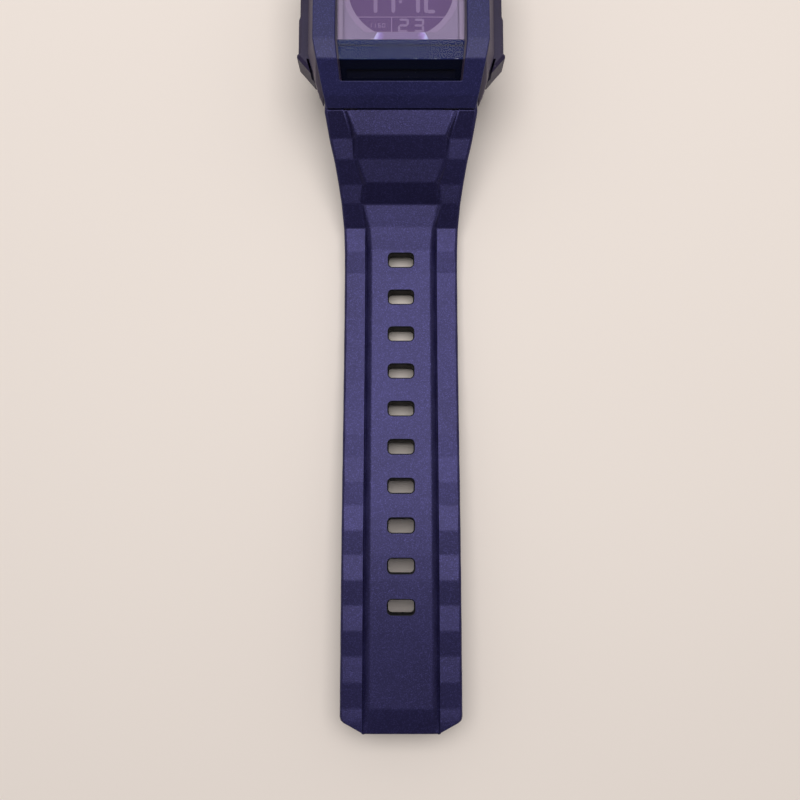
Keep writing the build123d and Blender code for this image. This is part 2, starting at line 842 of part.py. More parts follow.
# Liquid crystal display: a full lower plate and a shorter upper plate
with BuildPart() as lcd_panel:
    middle_z = lcd_bottom_z + lcd_plate_thickness
    add_upright(four_way([(lcd_half, lcd_half)]), lcd_bottom_z, middle_z)
    add_upright(four_way([(lcd_half, lcd_half - lcd_ledge)]), middle_z, lcd_top_z)
save(lcd_panel, "lcd_panel")

connector_inner_y = connector_y - connector_width / 2
connector_length = 2 * (lcd_half - connector_inset)
with BuildPart() as backlight_panel:
    add_upright(
        four_way([(lcd_half - backlight_inset, connector_inner_y - backlight_thickness)]),
        lcd_bottom_z - backlight_gap - backlight_thickness,
        lcd_bottom_z - backlight_gap,
    )
save(backlight_panel, "backlight_panel")

# Rubber connectors from the board up to the display
with BuildPart() as lcd_connectors:
    with BuildSketch(Plane.XY.offset(board_top_z)):
        with Locations((0, connector_y), (0, -connector_y)):
            Rectangle(connector_length, connector_width)
    extrude(amount=connector_height)
save(lcd_connectors, "lcd_connectors")

# Leaf contacts on the module's sides, one behind each button
with BuildPart() as button_contacts:
    for x_from, x_to in (
        (module_half_x + contact_gap, module_half_x + contact_gap + contact_thickness),
        (-module_half_x - contact_gap - contact_thickness, -module_half_x - contact_gap),
    ):
        for y in (-button_y, button_y):
            half_y = contact_width / 2
            half_z = contact_height / 2
            add_profile(
                [
                    (y - half_y, button_z - half_z),
                    (y + half_y, button_z - half_z),
                    (y + half_y, button_z + half_z),
                    (y - half_y, button_z + half_z),
                ],
                x_from,
                x_to,
            )
save(button_contacts, "button_contacts")

# Rubber rings that seal the four button shafts
with BuildPart() as button_seals:
    ring_x = ring_seat_x + ring_seat_width / 2
    for side in (-1, 1):
        for y in (-button_y, button_y):
            with BuildSketch(Plane.XY.offset(button_z)) as section:
                with Locations((side * ring_x, y + ring_major_radius)):
                    Circle(ring_wire_radius)
            revolve(section.sketch, axis=Axis((0, y, button_z), (1, 0, 0)))
save(button_seals, "button_seals")

# Buttons, each with its return spring and the clip that keeps it in
button_places = {
    "upper_left": (-1, button_y),
    "lower_left": (-1, -button_y),
    "upper_right": (1, button_y),
    "lower_right": (1, -button_y),
}
clip_outer_x = cavity_half_x - clip_wall_gap
clip_inner_x = clip_outer_x - clip_thickness
clip_groove_radius = button_shaft_radius - clip_groove_depth
for place, (side, y) in button_places.items():
    with BuildPart() as button:
        add_rod(button_cap_radius, y, button_z, side * button_inner_x, side * button_face_x)
        fillet(button.edges().sort_by(Axis.X)[-1 if side > 0 else 0], radius=button_cap_round)
        add_rod(spring_seat_radius, y, button_z, side * button_inner_x, side * spring_top_x,
                mode=Mode.SUBTRACT)
        add_rod(button_shaft_radius, y, button_z, side * button_shaft_end_x,
                side * (spring_top_x + button_cap_round))
        with BuildSketch(Plane.YZ.offset(side * clip_inner_x)) as groove:
            with Locations((y, button_z)):
                Circle(button_shaft_radius + overrun)
                Circle(clip_groove_radius, mode=Mode.SUBTRACT)
        extrude(groove.sketch, amount=side * clip_thickness, mode=Mode.SUBTRACT)
    save(button, f"button_{place}")

    with BuildPart() as button_spring:
        coil_start = spring_seat_x + spring_wire_radius + spring_end_gap
        coil_length = spring_top_x - spring_wire_radius - spring_end_gap - coil_start
        with BuildLine() as coil:
            Helix(
                pitch=coil_length / spring_turns,
                height=coil_length,
                radius=spring_outer_radius - spring_wire_radius,
                center=(side * coil_start, y, button_z),
                direction=(side, 0, 0),
            )
        with BuildSketch(Plane(origin=coil.line @ 0, z_dir=coil.line % 0)):
            Circle(spring_wire_radius)
        sweep()
    save(button_spring, f"button_spring_{place}")

    with BuildPart() as button_clip:
        with BuildSketch(Plane.YZ.offset(side * clip_inner_x)) as washer:
            with Locations((y, button_z)):
                Circle(clip_radius)
                Circle(clip_groove_radius + ring_seat_gap, mode=Mode.SUBTRACT)
            with Locations((y, button_z - clip_radius)):
                Rectangle(clip_mouth, clip_radius + clip_radius, mode=Mode.SUBTRACT)
        extrude(washer.sketch, amount=side * clip_thickness)
    save(button_clip, f"button_clip_{place}")
print("button spring gap between turns",
      round(coil_length / spring_turns - 2 * spring_wire_radius, 2))

# Spring bars: a tube through each strap's knuckle, two tips in the lugs, a spring inside
bar_tube_half_x = lug_inner_x - bar_tube_inset
bar_tip_end_x = lug_inner_x + bar_tip_reach
bar_tip_start_x = bar_tip_end_x - bar_tip_length
bar_flange_end_x = lug_inner_x - bar_flange_gap
for place, y in (("long", -bar_axis_y), ("short", bar_axis_y)):
    with BuildPart() as bar_tube:
        add_rod(bar_tube_radius, y, bar_axis_z, -bar_tube_half_x, bar_tube_half_x)
        add_rod(bar_tube_bore, y, bar_axis_z, -bar_tube_half_x, bar_tube_half_x,
                mode=Mode.SUBTRACT)
    save(bar_tube, f"spring_bar_tube_{place}")

    with BuildPart() as bar_tips:
        for side in (-1, 1):
            add_rod(bar_tip_radius, y, bar_axis_z, side * bar_tip_start_x, side * bar_tip_end_x)
            add_rod(bar_flange_radius, y, bar_axis_z,
                    side * (bar_flange_end_x - bar_flange_width), side * bar_flange_end_x)
    save(bar_tips, f"spring_bar_tips_{place}")

    with BuildPart() as bar_spring:
        half_length = bar_tip_start_x - bar_spring_wire - bar_spring_gap
        with BuildLine() as coil:
            Helix(
                pitch=bar_spring_pitch,
                height=half_length + half_length,
                radius=bar_tube_bore - bar_spring_gap - bar_spring_wire,
                center=(-half_length, y, bar_axis_z),
                direction=(1, 0, 0),
            )
        with BuildSketch(Plane(origin=coil.line @ 0, z_dir=coil.line % 0)):
            Circle(bar_spring_wire)
        sweep()
    save(bar_spring, f"spring_bar_spring_{place}")
print("spring bar spring gap between turns", round(bar_spring_pitch - 2 * bar_spring_wire, 2))

# Stations along a strap: distance from the case's centre and height of the plank's face
root_face_z = bar_axis_z + knuckle_radius
root_thickness = knuckle_radius + knuckle_radius


def facet_run(index):
    """Length of a facet along the strap; the steep ones at the root are shorter."""
    return root_facet_length if index < steep_facets else facet_length


def strap_stations(slopes):
    """Walk outward from the root, one facet at a time."""
    stations = [(strap_root_y, root_face_z)]
    for index, slope in enumerate(slopes):
        distance, height = stations[-1]
        angle = radians(slope)
        stations.append((distance + facet_run(index) * cos(angle),
                         height + facet_run(index) * sin(angle)))
    return stations


def rail_drops(slopes):
    """How far the rails lie below the plank's face at each station."""
    drops = [0]
    for index, (slope, rail_slope) in enumerate(zip(slopes, root_rail_slopes)):
        rise = facet_run(index) * (sin(radians(rail_slope)) - sin(radians(slope)))
        drops.append(drops[-1] - rise)
    for index in range(len(drops), len(slopes) + 1):
        drops.append(rail_valley_drop if index % 2 else rail_peak_drop)
    return drops


def share_at(shares, index):
    """Share of a station, or zero past the root."""
    return shares[index] if index < len(shares) else 0


def strap_section(index, height, rail_drop, bevel_drop=0):
    """Cross section of a strap at one station, drawn in X and Z."""
    flare = share_at(flare_shares, index)
    half = strap_half_x + (strap_root_half_x - strap_half_x) * flare
    plank = plank_half_x + (plank_root_half_x - plank_half_x) * share_at(plank_shares, index)
    thickness = strap_thickness + (root_thickness - strap_thickness) * share_at(
        thickness_shares, index)
    in_root = index < root_facets
    foot = plank + (root_bevel if in_root else plank_bevel)
    foot_drop = rail_drop + root_groove if in_root else groove_drop
    bottom = height - thickness
    right = [
        (half - strap_edge, bottom),
        (half, bottom + strap_edge),
        (half, height - rail_drop - rail_fall - strap_edge),
        (half - strap_edge, height - rail_drop - rail_fall),
        (foot + groove_width, height - rail_drop),
        (foot, height - foot_drop),
        (plank, height - bevel_drop),
    ]
    return right + [(-x, z) for x, z in reversed(right)]


def point_along(stations, distance):
    """Point on the plank's centre line at a distance from the root, and its direction."""
    index = 0
    while distance > facet_run(index):
        distance -= facet_run(index)
        index += 1
    (y0, z0), (y1, z1) = stations[index], stations[index + 1]
    share = distance / facet_run(index)
    along = Vector(0, y0 - y1, z1 - z0).normalized()
    return Vector(0, -(y0 + (y1 - y0) * share), z0 + (z1 - z0) * share), along


def cut_knuckle_notches(sign):
    """Notches of a strap's root that take the case's lugs, and the bar's bore."""
    notch_inner = lug_inner_x - lug_side_gap
    notch_outer = lug_outer_x + lug_side_gap
    y = sign * bar_axis_y
    for x_from, x_to in ((notch_inner, notch_outer), (-notch_outer, -notch_inner)):
        add_rod(lug_radius + lug_round_gap, y, bar_axis_z, x_from, x_to, mode=Mode.SUBTRACT)
        add_profile(
            [
                (y - sign * (recess_radius + overrun), bar_axis_z - knuckle_radius - overrun),
                (sign * (strap_root_y - lug_side_gap), bar_axis_z - knuckle_radius - overrun),
                (sign * (strap_root_y - lug_side_gap), root_face_z + overrun),
                (y - sign * (recess_radius + overrun), root_face_z + overrun),
            ],
            x_from,
            x_to,
            mode=Mode.SUBTRACT,
        )
    add_rod(bar_tube_radius + knuckle_bore_gap, y, bar_axis_z, -notch_inner, notch_inner,
            mode=Mode.SUBTRACT)


# Long strap, towards 6 o'clock, with its row of slots and a cornered tip
long_slopes = root_slopes + long_tail_slopes
long_stations = strap_stations(long_slopes)
long_drops = rail_drops(long_slopes)
with BuildPart() as long_strap:
    with BuildSketch(Plane.XZ.offset(bar_axis_y)):
        Polygon(*strap_section(0, root_face_z, 0))
    for index, (distance, height) in enumerate(long_stations):
        last = index == len(long_stations) - 1
        with BuildSketch(Plane.XZ.offset(distance)):
            Polygon(*strap_section(index, height, long_drops[index],
                                   tip_bevel_drop if last else 0))
    loft(ruled=True)
    add_rod(knuckle_radius, -bar_axis_y, bar_axis_z, -strap_root_half_x, strap_root_half_x)
    cut_knuckle_notches(-1)
    tip_y, tip_z = long_stations[-1]
    for side in (-1, 1):
        add_upright(
            [
                (side * (strap_half_x + overrun), -tip_y + tip_corner_y + overrun),
                (side * (strap_half_x - tip_corner_x - overrun), -tip_y - overrun),
                (side * (strap_half_x + overrun), -tip_y - overrun),
            ],
            tip_z - strap_thickness - overrun,
            tip_z + overrun,
            mode=Mode.SUBTRACT,
        )
    for number in range(hole_count):
        place, along = point_along(long_stations, hole_start + number * hole_pitch)
        normal = Vector(1, 0, 0).cross(along) * -1
        with BuildSketch(Plane(origin=place, x_dir=(1, 0, 0), z_dir=normal)) as hole:
            RectangleRounded(hole_length, hole_width, hole_round)
        extrude(hole.sketch, amount=strap_thickness + overrun, both=True, mode=Mode.SUBTRACT)
save(long_strap, "long_strap")

# Short strap, towards 12 o'clock, with the knuckle of the buckle's bar
short_slopes = root_slopes + short_tail_slopes
short_stations = strap_stations(short_slopes)
short_drops = rail_drops(short_slopes)
buckle_y, short_end_z = short_stations[-1]
end_knuckle_radius = strap_thickness / 2
buckle_z = short_end_z - end_knuckle_radius
with BuildPart() as short_strap:
    with BuildSketch(Plane.XZ.offset(-bar_axis_y)):
        Polygon(*strap_section(0, root_face_z, 0))
    for index, (distance, height) in enumerate(short_stations):
        with BuildSketch(Plane.XZ.offset(-distance)):
            Polygon(*strap_section(index, height, short_drops[index]))
    loft(ruled=True)
    add_rod(knuckle_radius, bar_axis_y, bar_axis_z, -strap_root_half_x, strap_root_half_x)
    cut_knuckle_notches(1)
    add_rod(end_knuckle_radius, buckle_y, buckle_z, -strap_half_x, strap_half_x)
    add_rod(buckle_bar_radius + buckle_bore_gap, buckle_y, buckle_z,
            -strap_half_x - overrun, strap_half_x + overrun, mode=Mode.SUBTRACT)
    slot_half_x = tongue_width / 2 + tongue_slot_gap
    add_profile(
        [
            (buckle_y - tongue_slot_depth, buckle_z - strap_thickness),
            (buckle_y + strap_thickness, buckle_z - strap_thickness),
            (buckle_y + strap_thickness, buckle_z + strap_thickness),
            (buckle_y - tongue_slot_depth, buckle_z + strap_thickness),
        ],
        -slot_half_x,
        slot_half_x,
        mode=Mode.SUBTRACT,
    )
save(short_strap, "short_strap")

# Buckle: a steel frame on a bar, with a tongue that rests on its far rail
frame_inner_x = strap_half_x + buckle_side_gap
frame_outer_x = frame_inner_x + buckle_arm_width
frame_half_z = buckle_thickness / 2
frame_far_y = buckle_y + buckle_reach + buckle_rail_width
with BuildPart() as buckle_frame:
    with BuildSketch(Plane.XY.offset(buckle_z - frame_half_z)):
        Polygon(
            (frame_outer_x, buckle_y),
            (frame_outer_x, frame_far_y - buckle_corner),
            (frame_outer_x - buckle_corner, frame_far_y),
            (buckle_corner - frame_outer_x, frame_far_y),
            (-frame_outer_x, frame_far_y - buckle_corner),
            (-frame_outer_x, buckle_y),
        )
        Polygon(
            (frame_inner_x, buckle_y - overrun),
            (frame_inner_x, buckle_y + buckle_reach),
            (-frame_inner_x, buckle_y + buckle_reach),
            (-frame_inner_x, buckle_y - overrun),
            mode=Mode.SUBTRACT,
        )
    extrude(amount=buckle_thickness)
    rim = buckle_frame.faces().sort_by(Axis.Z)[-1].edges()
    chamfer(rim.filter_by(lambda edge: edge.center().Y > buckle_y + buckle_reach / 2
                          and edge.center().Y != buckle_y + buckle_reach), length=buckle_edge)
    for x_from in (-frame_outer_x, frame_inner_x):
        add_rod(frame_half_z, buckle_y, buckle_z, x_from, x_from + buckle_arm_width)
    add_rod(buckle_bar_radius + bar_fit, buckle_y, buckle_z, -frame_outer_x, frame_outer_x,
            mode=Mode.SUBTRACT)
save(buckle_frame, "buckle_frame")

with BuildPart() as buckle_bar:
    bar_half_x = frame_outer_x - buckle_bar_end_inset
    add_rod(buckle_bar_radius, buckle_y, buckle_z, -bar_half_x, bar_half_x)
save(buckle_bar, "buckle_bar")

with BuildPart() as buckle_tongue:
    half_width = tongue_width / 2
    seat_z = buckle_z + frame_half_z + tongue_rest_gap
    crown_z = seat_z + tongue_thickness
    nose_y = frame_far_y + tongue_overhang
    add_rod(tongue_eye_radius, buckle_y, buckle_z, -half_width, half_width)
    add_profile(
        [
            (buckle_y, buckle_z - tongue_eye_radius),
            (buckle_y + tongue_lift_start, buckle_z + buckle_bar_radius),
            (buckle_y + buckle_reach - tongue_nose, seat_z),
            (nose_y - tongue_nose, seat_z),
            (nose_y, seat_z + tongue_nose),
            (nose_y, crown_z - tongue_nose),
            (nose_y - tongue_nose, crown_z),
            (buckle_y + tongue_lift_start, crown_z),
            (buckle_y, buckle_z + tongue_eye_radius),
        ],
        -half_width,
        half_width,
    )
    add_rod(buckle_bar_radius + buckle_bore_gap, buckle_y, buckle_z, -half_width, half_width,
            mode=Mode.SUBTRACT)
save(buckle_tongue, "buckle_tongue")

# Keeper: a resin loop that slides on the straight end of the short strap
keeper_floor_z = short_end_z - strap_thickness - keeper_floor_gap
keeper_roof_z = short_end_z + keeper_headroom
keeper_half_x = strap_half_x + keeper_side_gap
straight_start_y = short_stations[-straight_facets - 1][0]
keeper_y = straight_start_y + keeper_start_gap + keeper_travel
with BuildPart() as strap_keeper:
    with BuildSketch(Plane.XZ.offset(-keeper_y)) as ring:
        middle_z = (keeper_floor_z + keeper_roof_z) / 2
        inner_height = keeper_roof_z - keeper_floor_z
        inner_width = keeper_half_x + keeper_half_x
        with Locations((0, middle_z)):
            RectangleRounded(inner_width + keeper_wall + keeper_wall,
                             inner_height + keeper_wall + keeper_wall,
                             keeper_corner + keeper_wall)
            RectangleRounded(inner_width, inner_height, keeper_corner, mode=Mode.SUBTRACT)
    extrude(amount=-keeper_length)
save(strap_keeper, "strap_keeper")

print("long strap belly", round(min(z for _, z in long_stations) - strap_thickness, 3))
print("short strap belly", round(min(z for _, z in short_stations) - strap_thickness, 3))
print("bar axes", bar_axis_y, bar_axis_z, "buckle axis", round(buckle_y, 3), round(buckle_z, 3))
print("keeper from", round(keeper_y, 3), "to", round(keeper_y + keeper_length, 3))
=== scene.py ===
from math import cos, pi, radians, sin, sqrt
from random import Random

import bmesh
import bpy
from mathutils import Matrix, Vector


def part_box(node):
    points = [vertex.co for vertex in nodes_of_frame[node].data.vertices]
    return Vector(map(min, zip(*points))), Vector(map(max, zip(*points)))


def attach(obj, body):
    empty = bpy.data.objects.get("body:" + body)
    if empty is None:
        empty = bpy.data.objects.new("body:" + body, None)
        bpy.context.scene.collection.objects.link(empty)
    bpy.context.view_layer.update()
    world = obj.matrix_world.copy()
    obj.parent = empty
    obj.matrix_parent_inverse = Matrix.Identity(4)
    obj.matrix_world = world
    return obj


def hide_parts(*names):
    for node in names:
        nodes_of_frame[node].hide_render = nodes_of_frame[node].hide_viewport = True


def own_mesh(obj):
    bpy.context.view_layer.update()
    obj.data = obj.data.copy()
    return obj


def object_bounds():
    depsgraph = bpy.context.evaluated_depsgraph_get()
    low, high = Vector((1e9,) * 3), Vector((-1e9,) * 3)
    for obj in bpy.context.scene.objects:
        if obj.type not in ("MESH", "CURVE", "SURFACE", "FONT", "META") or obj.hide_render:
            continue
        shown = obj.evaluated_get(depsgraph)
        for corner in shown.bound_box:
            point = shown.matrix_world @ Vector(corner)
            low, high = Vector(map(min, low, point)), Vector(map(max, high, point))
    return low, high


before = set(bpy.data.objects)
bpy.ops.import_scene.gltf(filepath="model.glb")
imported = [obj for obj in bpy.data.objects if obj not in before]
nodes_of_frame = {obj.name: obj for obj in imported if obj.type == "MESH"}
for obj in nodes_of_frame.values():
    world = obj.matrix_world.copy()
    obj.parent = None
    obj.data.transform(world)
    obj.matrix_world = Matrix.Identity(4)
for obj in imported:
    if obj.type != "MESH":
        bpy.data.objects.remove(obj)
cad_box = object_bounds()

# Table, light and camera
# A cream table top under soft daylight that comes from above and a little from behind
# the watch, seen from straight above by a camera that leans six degrees.
scene = bpy.context.scene
scene.view_settings.view_transform = "Standard"
mm = 0.001
daylight = (1.0, 0.97, 0.95)

lens_place = (-0.2 * mm, -94.06 * mm, 154 * mm)
lens_tilt = radians(6)
lens_length = 36
sensor_width = 36
camera_data = bpy.data.cameras.new("overhead_camera")
camera_data.sensor_width = sensor_width
camera_data.lens = lens_length
camera_data.clip_start = 1 * mm
camera = bpy.data.objects.new("overhead_camera", camera_data)
camera.location = lens_place
camera.rotation_euler = (lens_tilt, 0, 0)
scene.collection.objects.link(camera)
scene.camera = camera

lamp_place = Vector((0.0, 0.12, 0.60))
lamp_aim = Vector((0, 0.12, 0))
lamp_width = 0.66
lamp_length = 0.40
lamp_power = 3.05
lamp_data = bpy.data.lights.new("overhead_lamp", "AREA")
lamp_data.shape = "RECTANGLE"
lamp_data.size = lamp_width
lamp_data.size_y = lamp_length
lamp_data.energy = lamp_power
lamp_data.color = daylight
lamp = bpy.data.objects.new("overhead_lamp", lamp_data)
lamp.location = lamp_place
lamp.rotation_euler = (lamp_aim - lamp_place).to_track_quat("-Z", "Y").to_euler()
scene.collection.objects.link(lamp)

# Most of a noise texture lies between these two values
noise_low = 0.3
noise_high = 0.7


def set_inputs(node, **values):
    """Write plain values on a node's sockets; underscores stand for spaces."""
    for label, value in values.items():
        node.inputs[label.replace("_", " ")].default_value = value


def remap(tree, source, to_low, to_high, low=noise_low, high=noise_high):
    """Stretch the range of a value from low to high to another range, and clamp it."""
    node = tree.nodes.new("ShaderNodeMapRange")
    tree.links.new(source, node.inputs["Value"])
    set_inputs(node, From_Min=low, From_Max=high, To_Min=to_low, To_Max=to_high)
    return node.outputs["Result"]


# The room is dimmer on the side where the strap points and lighter behind the head
room_near = 0.08
room_far = 0.62
room_turn_near = -0.75
room_turn_far = 0.6
world = bpy.data.worlds.new("pale_room")
scene.world = world
world.use_nodes = True
room = world.node_tree
sky = room.nodes["Background"]
sky.inputs["Color"].default_value = (*daylight, 1)
toward = room.nodes.new("ShaderNodeTexCoord")
room_split = room.nodes.new("ShaderNodeSeparateXYZ")
room.links.new(toward.outputs["Generated"], room_split.inputs["Vector"])
room.links.new(remap(room, room_split.outputs["Y"], room_near, room_far,
                     low=room_turn_near, high=room_turn_far), sky.inputs["Strength"])


def srgb(red, green, blue):
    """Linear colour of a swatch given in 0 to 255."""
    linear = []
    for level in (red, green, blue):
        share = level / 255
        linear.append(share / 12.92 if share <= 0.04045 else ((share + 0.055) / 1.055) ** 2.4)
    return (*linear, 1)


def new_finish(name):
    """Empty material with its tree and its main shader."""
    finish = bpy.data.materials.new(name)
    finish.use_nodes = True
    return finish, finish.node_tree, finish.node_tree.nodes["Principled BSDF"]


def surface_place(tree):
    """Coordinates on the piece itself."""
    return tree.nodes.new("ShaderNodeTexCoord").outputs["Object"]


def add_texture(tree, kind, where, **values):
    """Texture that follows the coordinates given, with its own values."""
    texture = tree.nodes.new(kind)
    tree.links.new(where, texture.inputs["Vector"])
    set_inputs(texture, **values)
    return texture


def feed(tree, value, socket):
    """Lead a value into a socket: another socket by a link, a plain value as it is."""
    if isinstance(value, bpy.types.NodeSocket):
        tree.links.new(value, socket)
    else:
        socket.default_value = value


def blend_colors(tree, factor, first, second):
    """Mix of two colours; each may be a socket or a plain colour."""
    mix = tree.nodes.new("ShaderNodeMix")
    mix.data_type = "RGBA"
    # The node's sockets for colour are the inputs 6 and 7 and the output 2
    for value, index in ((factor, 0), (first, 6), (second, 7)):
        feed(tree, value, mix.inputs[index])
    return mix.outputs[2]


def paint(tree, shader, color):
    """Lead a colour to the shader."""
    tree.links.new(color, shader.inputs["Base Color"])


def add_mesh_object(name, mesh):
    """Object that holds a built mesh."""
    data = bpy.data.meshes.new(name)
    mesh.to_mesh(data)
    mesh.free()
    item = bpy.data.objects.new(name, data)
    scene.collection.objects.link(item)
    return item


floor_z = cad_box[0][2]
table_size = 1.6
table_squares = 8
table_mesh = bmesh.new()
bmesh.ops.create_grid(table_mesh, x_segments=table_squares, y_segments=table_squares,
                      size=table_size)
table = add_mesh_object("table_top", table_mesh)
table.location = (0, 0, floor_z)
table_finish, tree, shader = new_finish("cream_laminate")
cloud = add_texture(tree, "ShaderNodeTexNoise", surface_place(tree), Scale=6.0)
paint(tree, shader, blend_colors(tree, cloud.outputs["Fac"], srgb(234, 225, 218),
                                 srgb(240, 232, 225)))
set_inputs(shader, Roughness=0.65, Specular_IOR_Level=0.25)
table.data.materials.append(table_finish)

# Case body
# Charcoal resin, injection moulded in one piece with the skirt, the two guards beside the
# buttons and the strap lugs. The skirt above and beyond the guards is painted paler: a painted
# sheen for the light it catches.
case_round = 0.16 * mm
painted_sheen_low = 8.22 * mm
painted_sheen_start = 16.2 * mm
painted_sheen_fade = 0.1 * mm


def new_effect(name, inputs, outputs):
    """Shader group with named sockets; returns its tree, its entry and its exit."""
    effect = bpy.data.node_groups.new(name, "ShaderNodeTree")
    for label, value in inputs.items():
        kind = "NodeSocketVector" if isinstance(value, tuple) else "NodeSocketFloat"
        socket = effect.interface.new_socket(label, in_out="INPUT", socket_type=kind)
        socket.default_value = value
    for label in outputs:
        effect.interface.new_socket(label, in_out="OUTPUT", socket_type="NodeSocketFloat")
    return effect, effect.nodes.new("NodeGroupInput"), effect.nodes.new("NodeGroupOutput")


def place_effect(tree, effect, **values):
    """Put an effect into a material with its own values."""
    node = tree.nodes.new("ShaderNodeGroup")
    node.node_tree = effect
    set_inputs(node, **values)
    return node


def reckon(tree, operation, *values):
    """Arithmetic on one or two values; each may be a socket or a plain number."""
    node = tree.nodes.new("ShaderNodeMath")
    node.operation = operation
    for index, value in enumerate(values):
        feed(tree, value, node.inputs[index])
    return node.outputs[0]


def cell_value(tree, cells):
    """Random value of each cell of a cell texture."""
    pick = tree.nodes.new("ShaderNodeSeparateColor")
    tree.links.new(cells.outputs["Color"], pick.inputs["Color"])
    return pick.outputs["Red"]


def split_place(tree):
    """Coordinates on the piece itself, each on a socket of its own."""
    split = tree.nodes.new("ShaderNodeSeparateXYZ")
    tree.links.new(surface_place(tree), split.inputs["Vector"])
    return split.outputs


def vary_roughness(tree, shader, effect, low, high):
    """Roughness that follows the height of an effect."""
    tree.links.new(remap(tree, effect.outputs["Height"], low, high),
                   shader.inputs["Roughness"])


def raise_surface(tree, shader, effect, depth):
    """Fine relief from the height of an effect, given as the depth of its lows."""
    bump = tree.nodes.new("ShaderNodeBump")
    set_inputs(bump, Distance=depth)
    tree.links.new(effect.outputs["Height"], bump.inputs["Height"])
    tree.links.new(bump.outputs["Normal"], shader.inputs["Normal"])


# Moulding grain: the fine sand texture that an etched mould leaves on resin, and the
# broad mottle that lies under it
mottle_share = 0.02
grain, entry, leave = new_effect("moulding_grain", {"Scale": 5000.0}, ["Height", "Mottle"])
for label, detail, share in (("Height", 3.0, 1.0), ("Mottle", 4.0, mottle_share)):
    noise = add_texture(grain, "ShaderNodeTexNoise", surface_place(grain), Detail=detail)
    grain.links.new(reckon(grain, "MULTIPLY", entry.outputs["Scale"], share),
                    noise.inputs["Scale"])
    grain.links.new(noise.outputs["Fac"], leave.inputs[label])

# Dust: sparse pale specks that lie on a surface, each round the middle of a cell
speck_core = 0.12
speck_edge = 0.22
dust, entry, leave = new_effect("dust", {"Scale": 900.0, "Amount": 0.05}, ["Mask"])
cells = add_texture(dust, "ShaderNodeTexVoronoi", surface_place(dust))
dust.links.new(entry.outputs["Scale"], cells.inputs["Scale"])
speck = remap(dust, cells.outputs["Distance"], 1.0, 0.0, low=speck_core, high=speck_edge)
chosen = reckon(dust, "LESS_THAN", cell_value(dust, cells), entry.outputs["Amount"])
dust.links.new(reckon(dust, "MULTIPLY", speck, chosen), leave.inputs["Mask"])


def soften_edges(name, width, angle=30, segments=2, clamp=False):
    """Weld a carried-over part and round its sharp edges, without moving its points."""
    part = nodes_of_frame[name]
    for face in part.data.polygons:
        face.use_smooth = True
    weld = part.modifiers.new("weld", "WELD")
    weld.merge_threshold = 0.001 * mm
    flat = part.modifiers.new("flat", "DECIMATE")
    flat.decimate_type = "DISSOLVE"
    flat.angle_limit = radians(0.6)
    rounding = part.modifiers.new("rounding", "BEVEL")
    rounding.width = width
    rounding.segments = segments
    rounding.limit_method = "ANGLE"
    rounding.angle_limit = radians(angle)
    rounding.use_clamp_overlap = clamp
    rounding.miter_outer = "MITER_ARC"
    smooth = part.modifiers.new("smooth", "WEIGHTED_NORMAL")
    smooth.weight = 100
    smooth.keep_sharp = False


def dress(finish, *names):
    """Give carried-over parts a finish."""
    for name in names:
        data = nodes_of_frame[name].data
        data.materials.clear()
        data.materials.append(finish)


case_finish, tree, shader = new_finish("charcoal_resin")
case_grain = place_effect(tree, grain, Scale=4200.0)
case_dust = place_effect(tree, dust, Scale=1500.0, Amount=0.03)
guard_color = blend_colors(
    tree,
    remap(tree, case_grain.outputs["Mottle"], 0.0, 1.0, low=0.35, high=0.65),
    srgb(36, 29, 56),
    srgb(46, 38, 68),
)
# Painted sheen: the colour turns paler above a height and beyond the guards' ends, where the
# skirt catches light
case_place = split_place(tree)
painted_sheen_above_guards = remap(tree, case_place["Z"], 0.0, 1.0, low=painted_sheen_low,
                     high=painted_sheen_low + painted_sheen_fade)
painted_sheen_beyond_guards = remap(tree, reckon(tree, "ABSOLUTE", case_place["Y"]), 0.0, 1.0,
                      low=painted_sheen_start, high=painted_sheen_start + painted_sheen_fade)
case_color_with_sheen = blend_colors(tree, reckon(tree, "MAXIMUM", painted_sheen_above_guards, painted_sheen_beyond_guards),
                          guard_color, srgb(100, 92, 106))
paint(tree, shader,
      blend_colors(tree, case_dust.outputs["Mask"], case_color_with_sheen, srgb(104, 100, 112)))
vary_roughness(tree, shader, case_grain, 0.4, 0.52)
set_inputs(shader, Specular_IOR_Level=0.22)
raise_surface(tree, shader, case_grain, 0.02 * mm)
dress(case_finish, "case_body")
soften_edges("case_body", case_round, clamp=True)

# Case back, its screws and its seal
# A stamped steel plate, brushed lengthwise, on a rubber seal in a groove of the case.
# Four countersunk screws with cross slots hold it.
screw_round = 0.05 * mm

# Brushing: fine parallel scratches, long along one axis
brushing, entry, leave = new_effect("brushing", {"Stretch": (1.0, 1.0, 1.0)},
                                    ["Height", "Streak"])
stretch = brushing.nodes.new("ShaderNodeVectorMath")
stretch.operation = "MULTIPLY"
brushing.links.new(surface_place(brushing), stretch.inputs[0])
brushing.links.new(entry.outputs["Stretch"], stretch.inputs[1])
scratches = add_texture(brushing, "ShaderNodeTexNoise", stretch.outputs[0], Scale=1.0,
                        Detail=4.0)
brushing.links.new(scratches.outputs["Fac"], leave.inputs["Height"])
brushing.links.new(remap(brushing, scratches.outputs["Fac"], 0.0, 1.0),
                   leave.inputs["Streak"])


def make_brushed_steel(name, stretch, dark, pale, smoothest, roughest, depth):
    """Steel whose brushing shows in its shade, its gloss and its relief."""
    finish, tree, shader = new_finish(name)
    brush = place_effect(tree, brushing, Stretch=stretch)
    paint(tree, shader, blend_colors(tree, brush.outputs["Streak"], dark, pale))
    vary_roughness(tree, shader, brush, smoothest, roughest)
    set_inputs(shader, Metallic=1.0)
    raise_surface(tree, shader, brush, depth)
    return finish


def make_plain(name, scale, dark, pale, shade="Mottle", depth=0, **values):
    """Moulded or printed surface: two close shades that the grain mixes, and one gloss."""
    finish, tree, shader = new_finish(name)
    specks = place_effect(tree, grain, Scale=scale)
    paint(tree, shader, blend_colors(tree, specks.outputs[shade], dark, pale))
    set_inputs(shader, **values)
    if depth:
        raise_surface(tree, shader, specks, depth)
    return finish


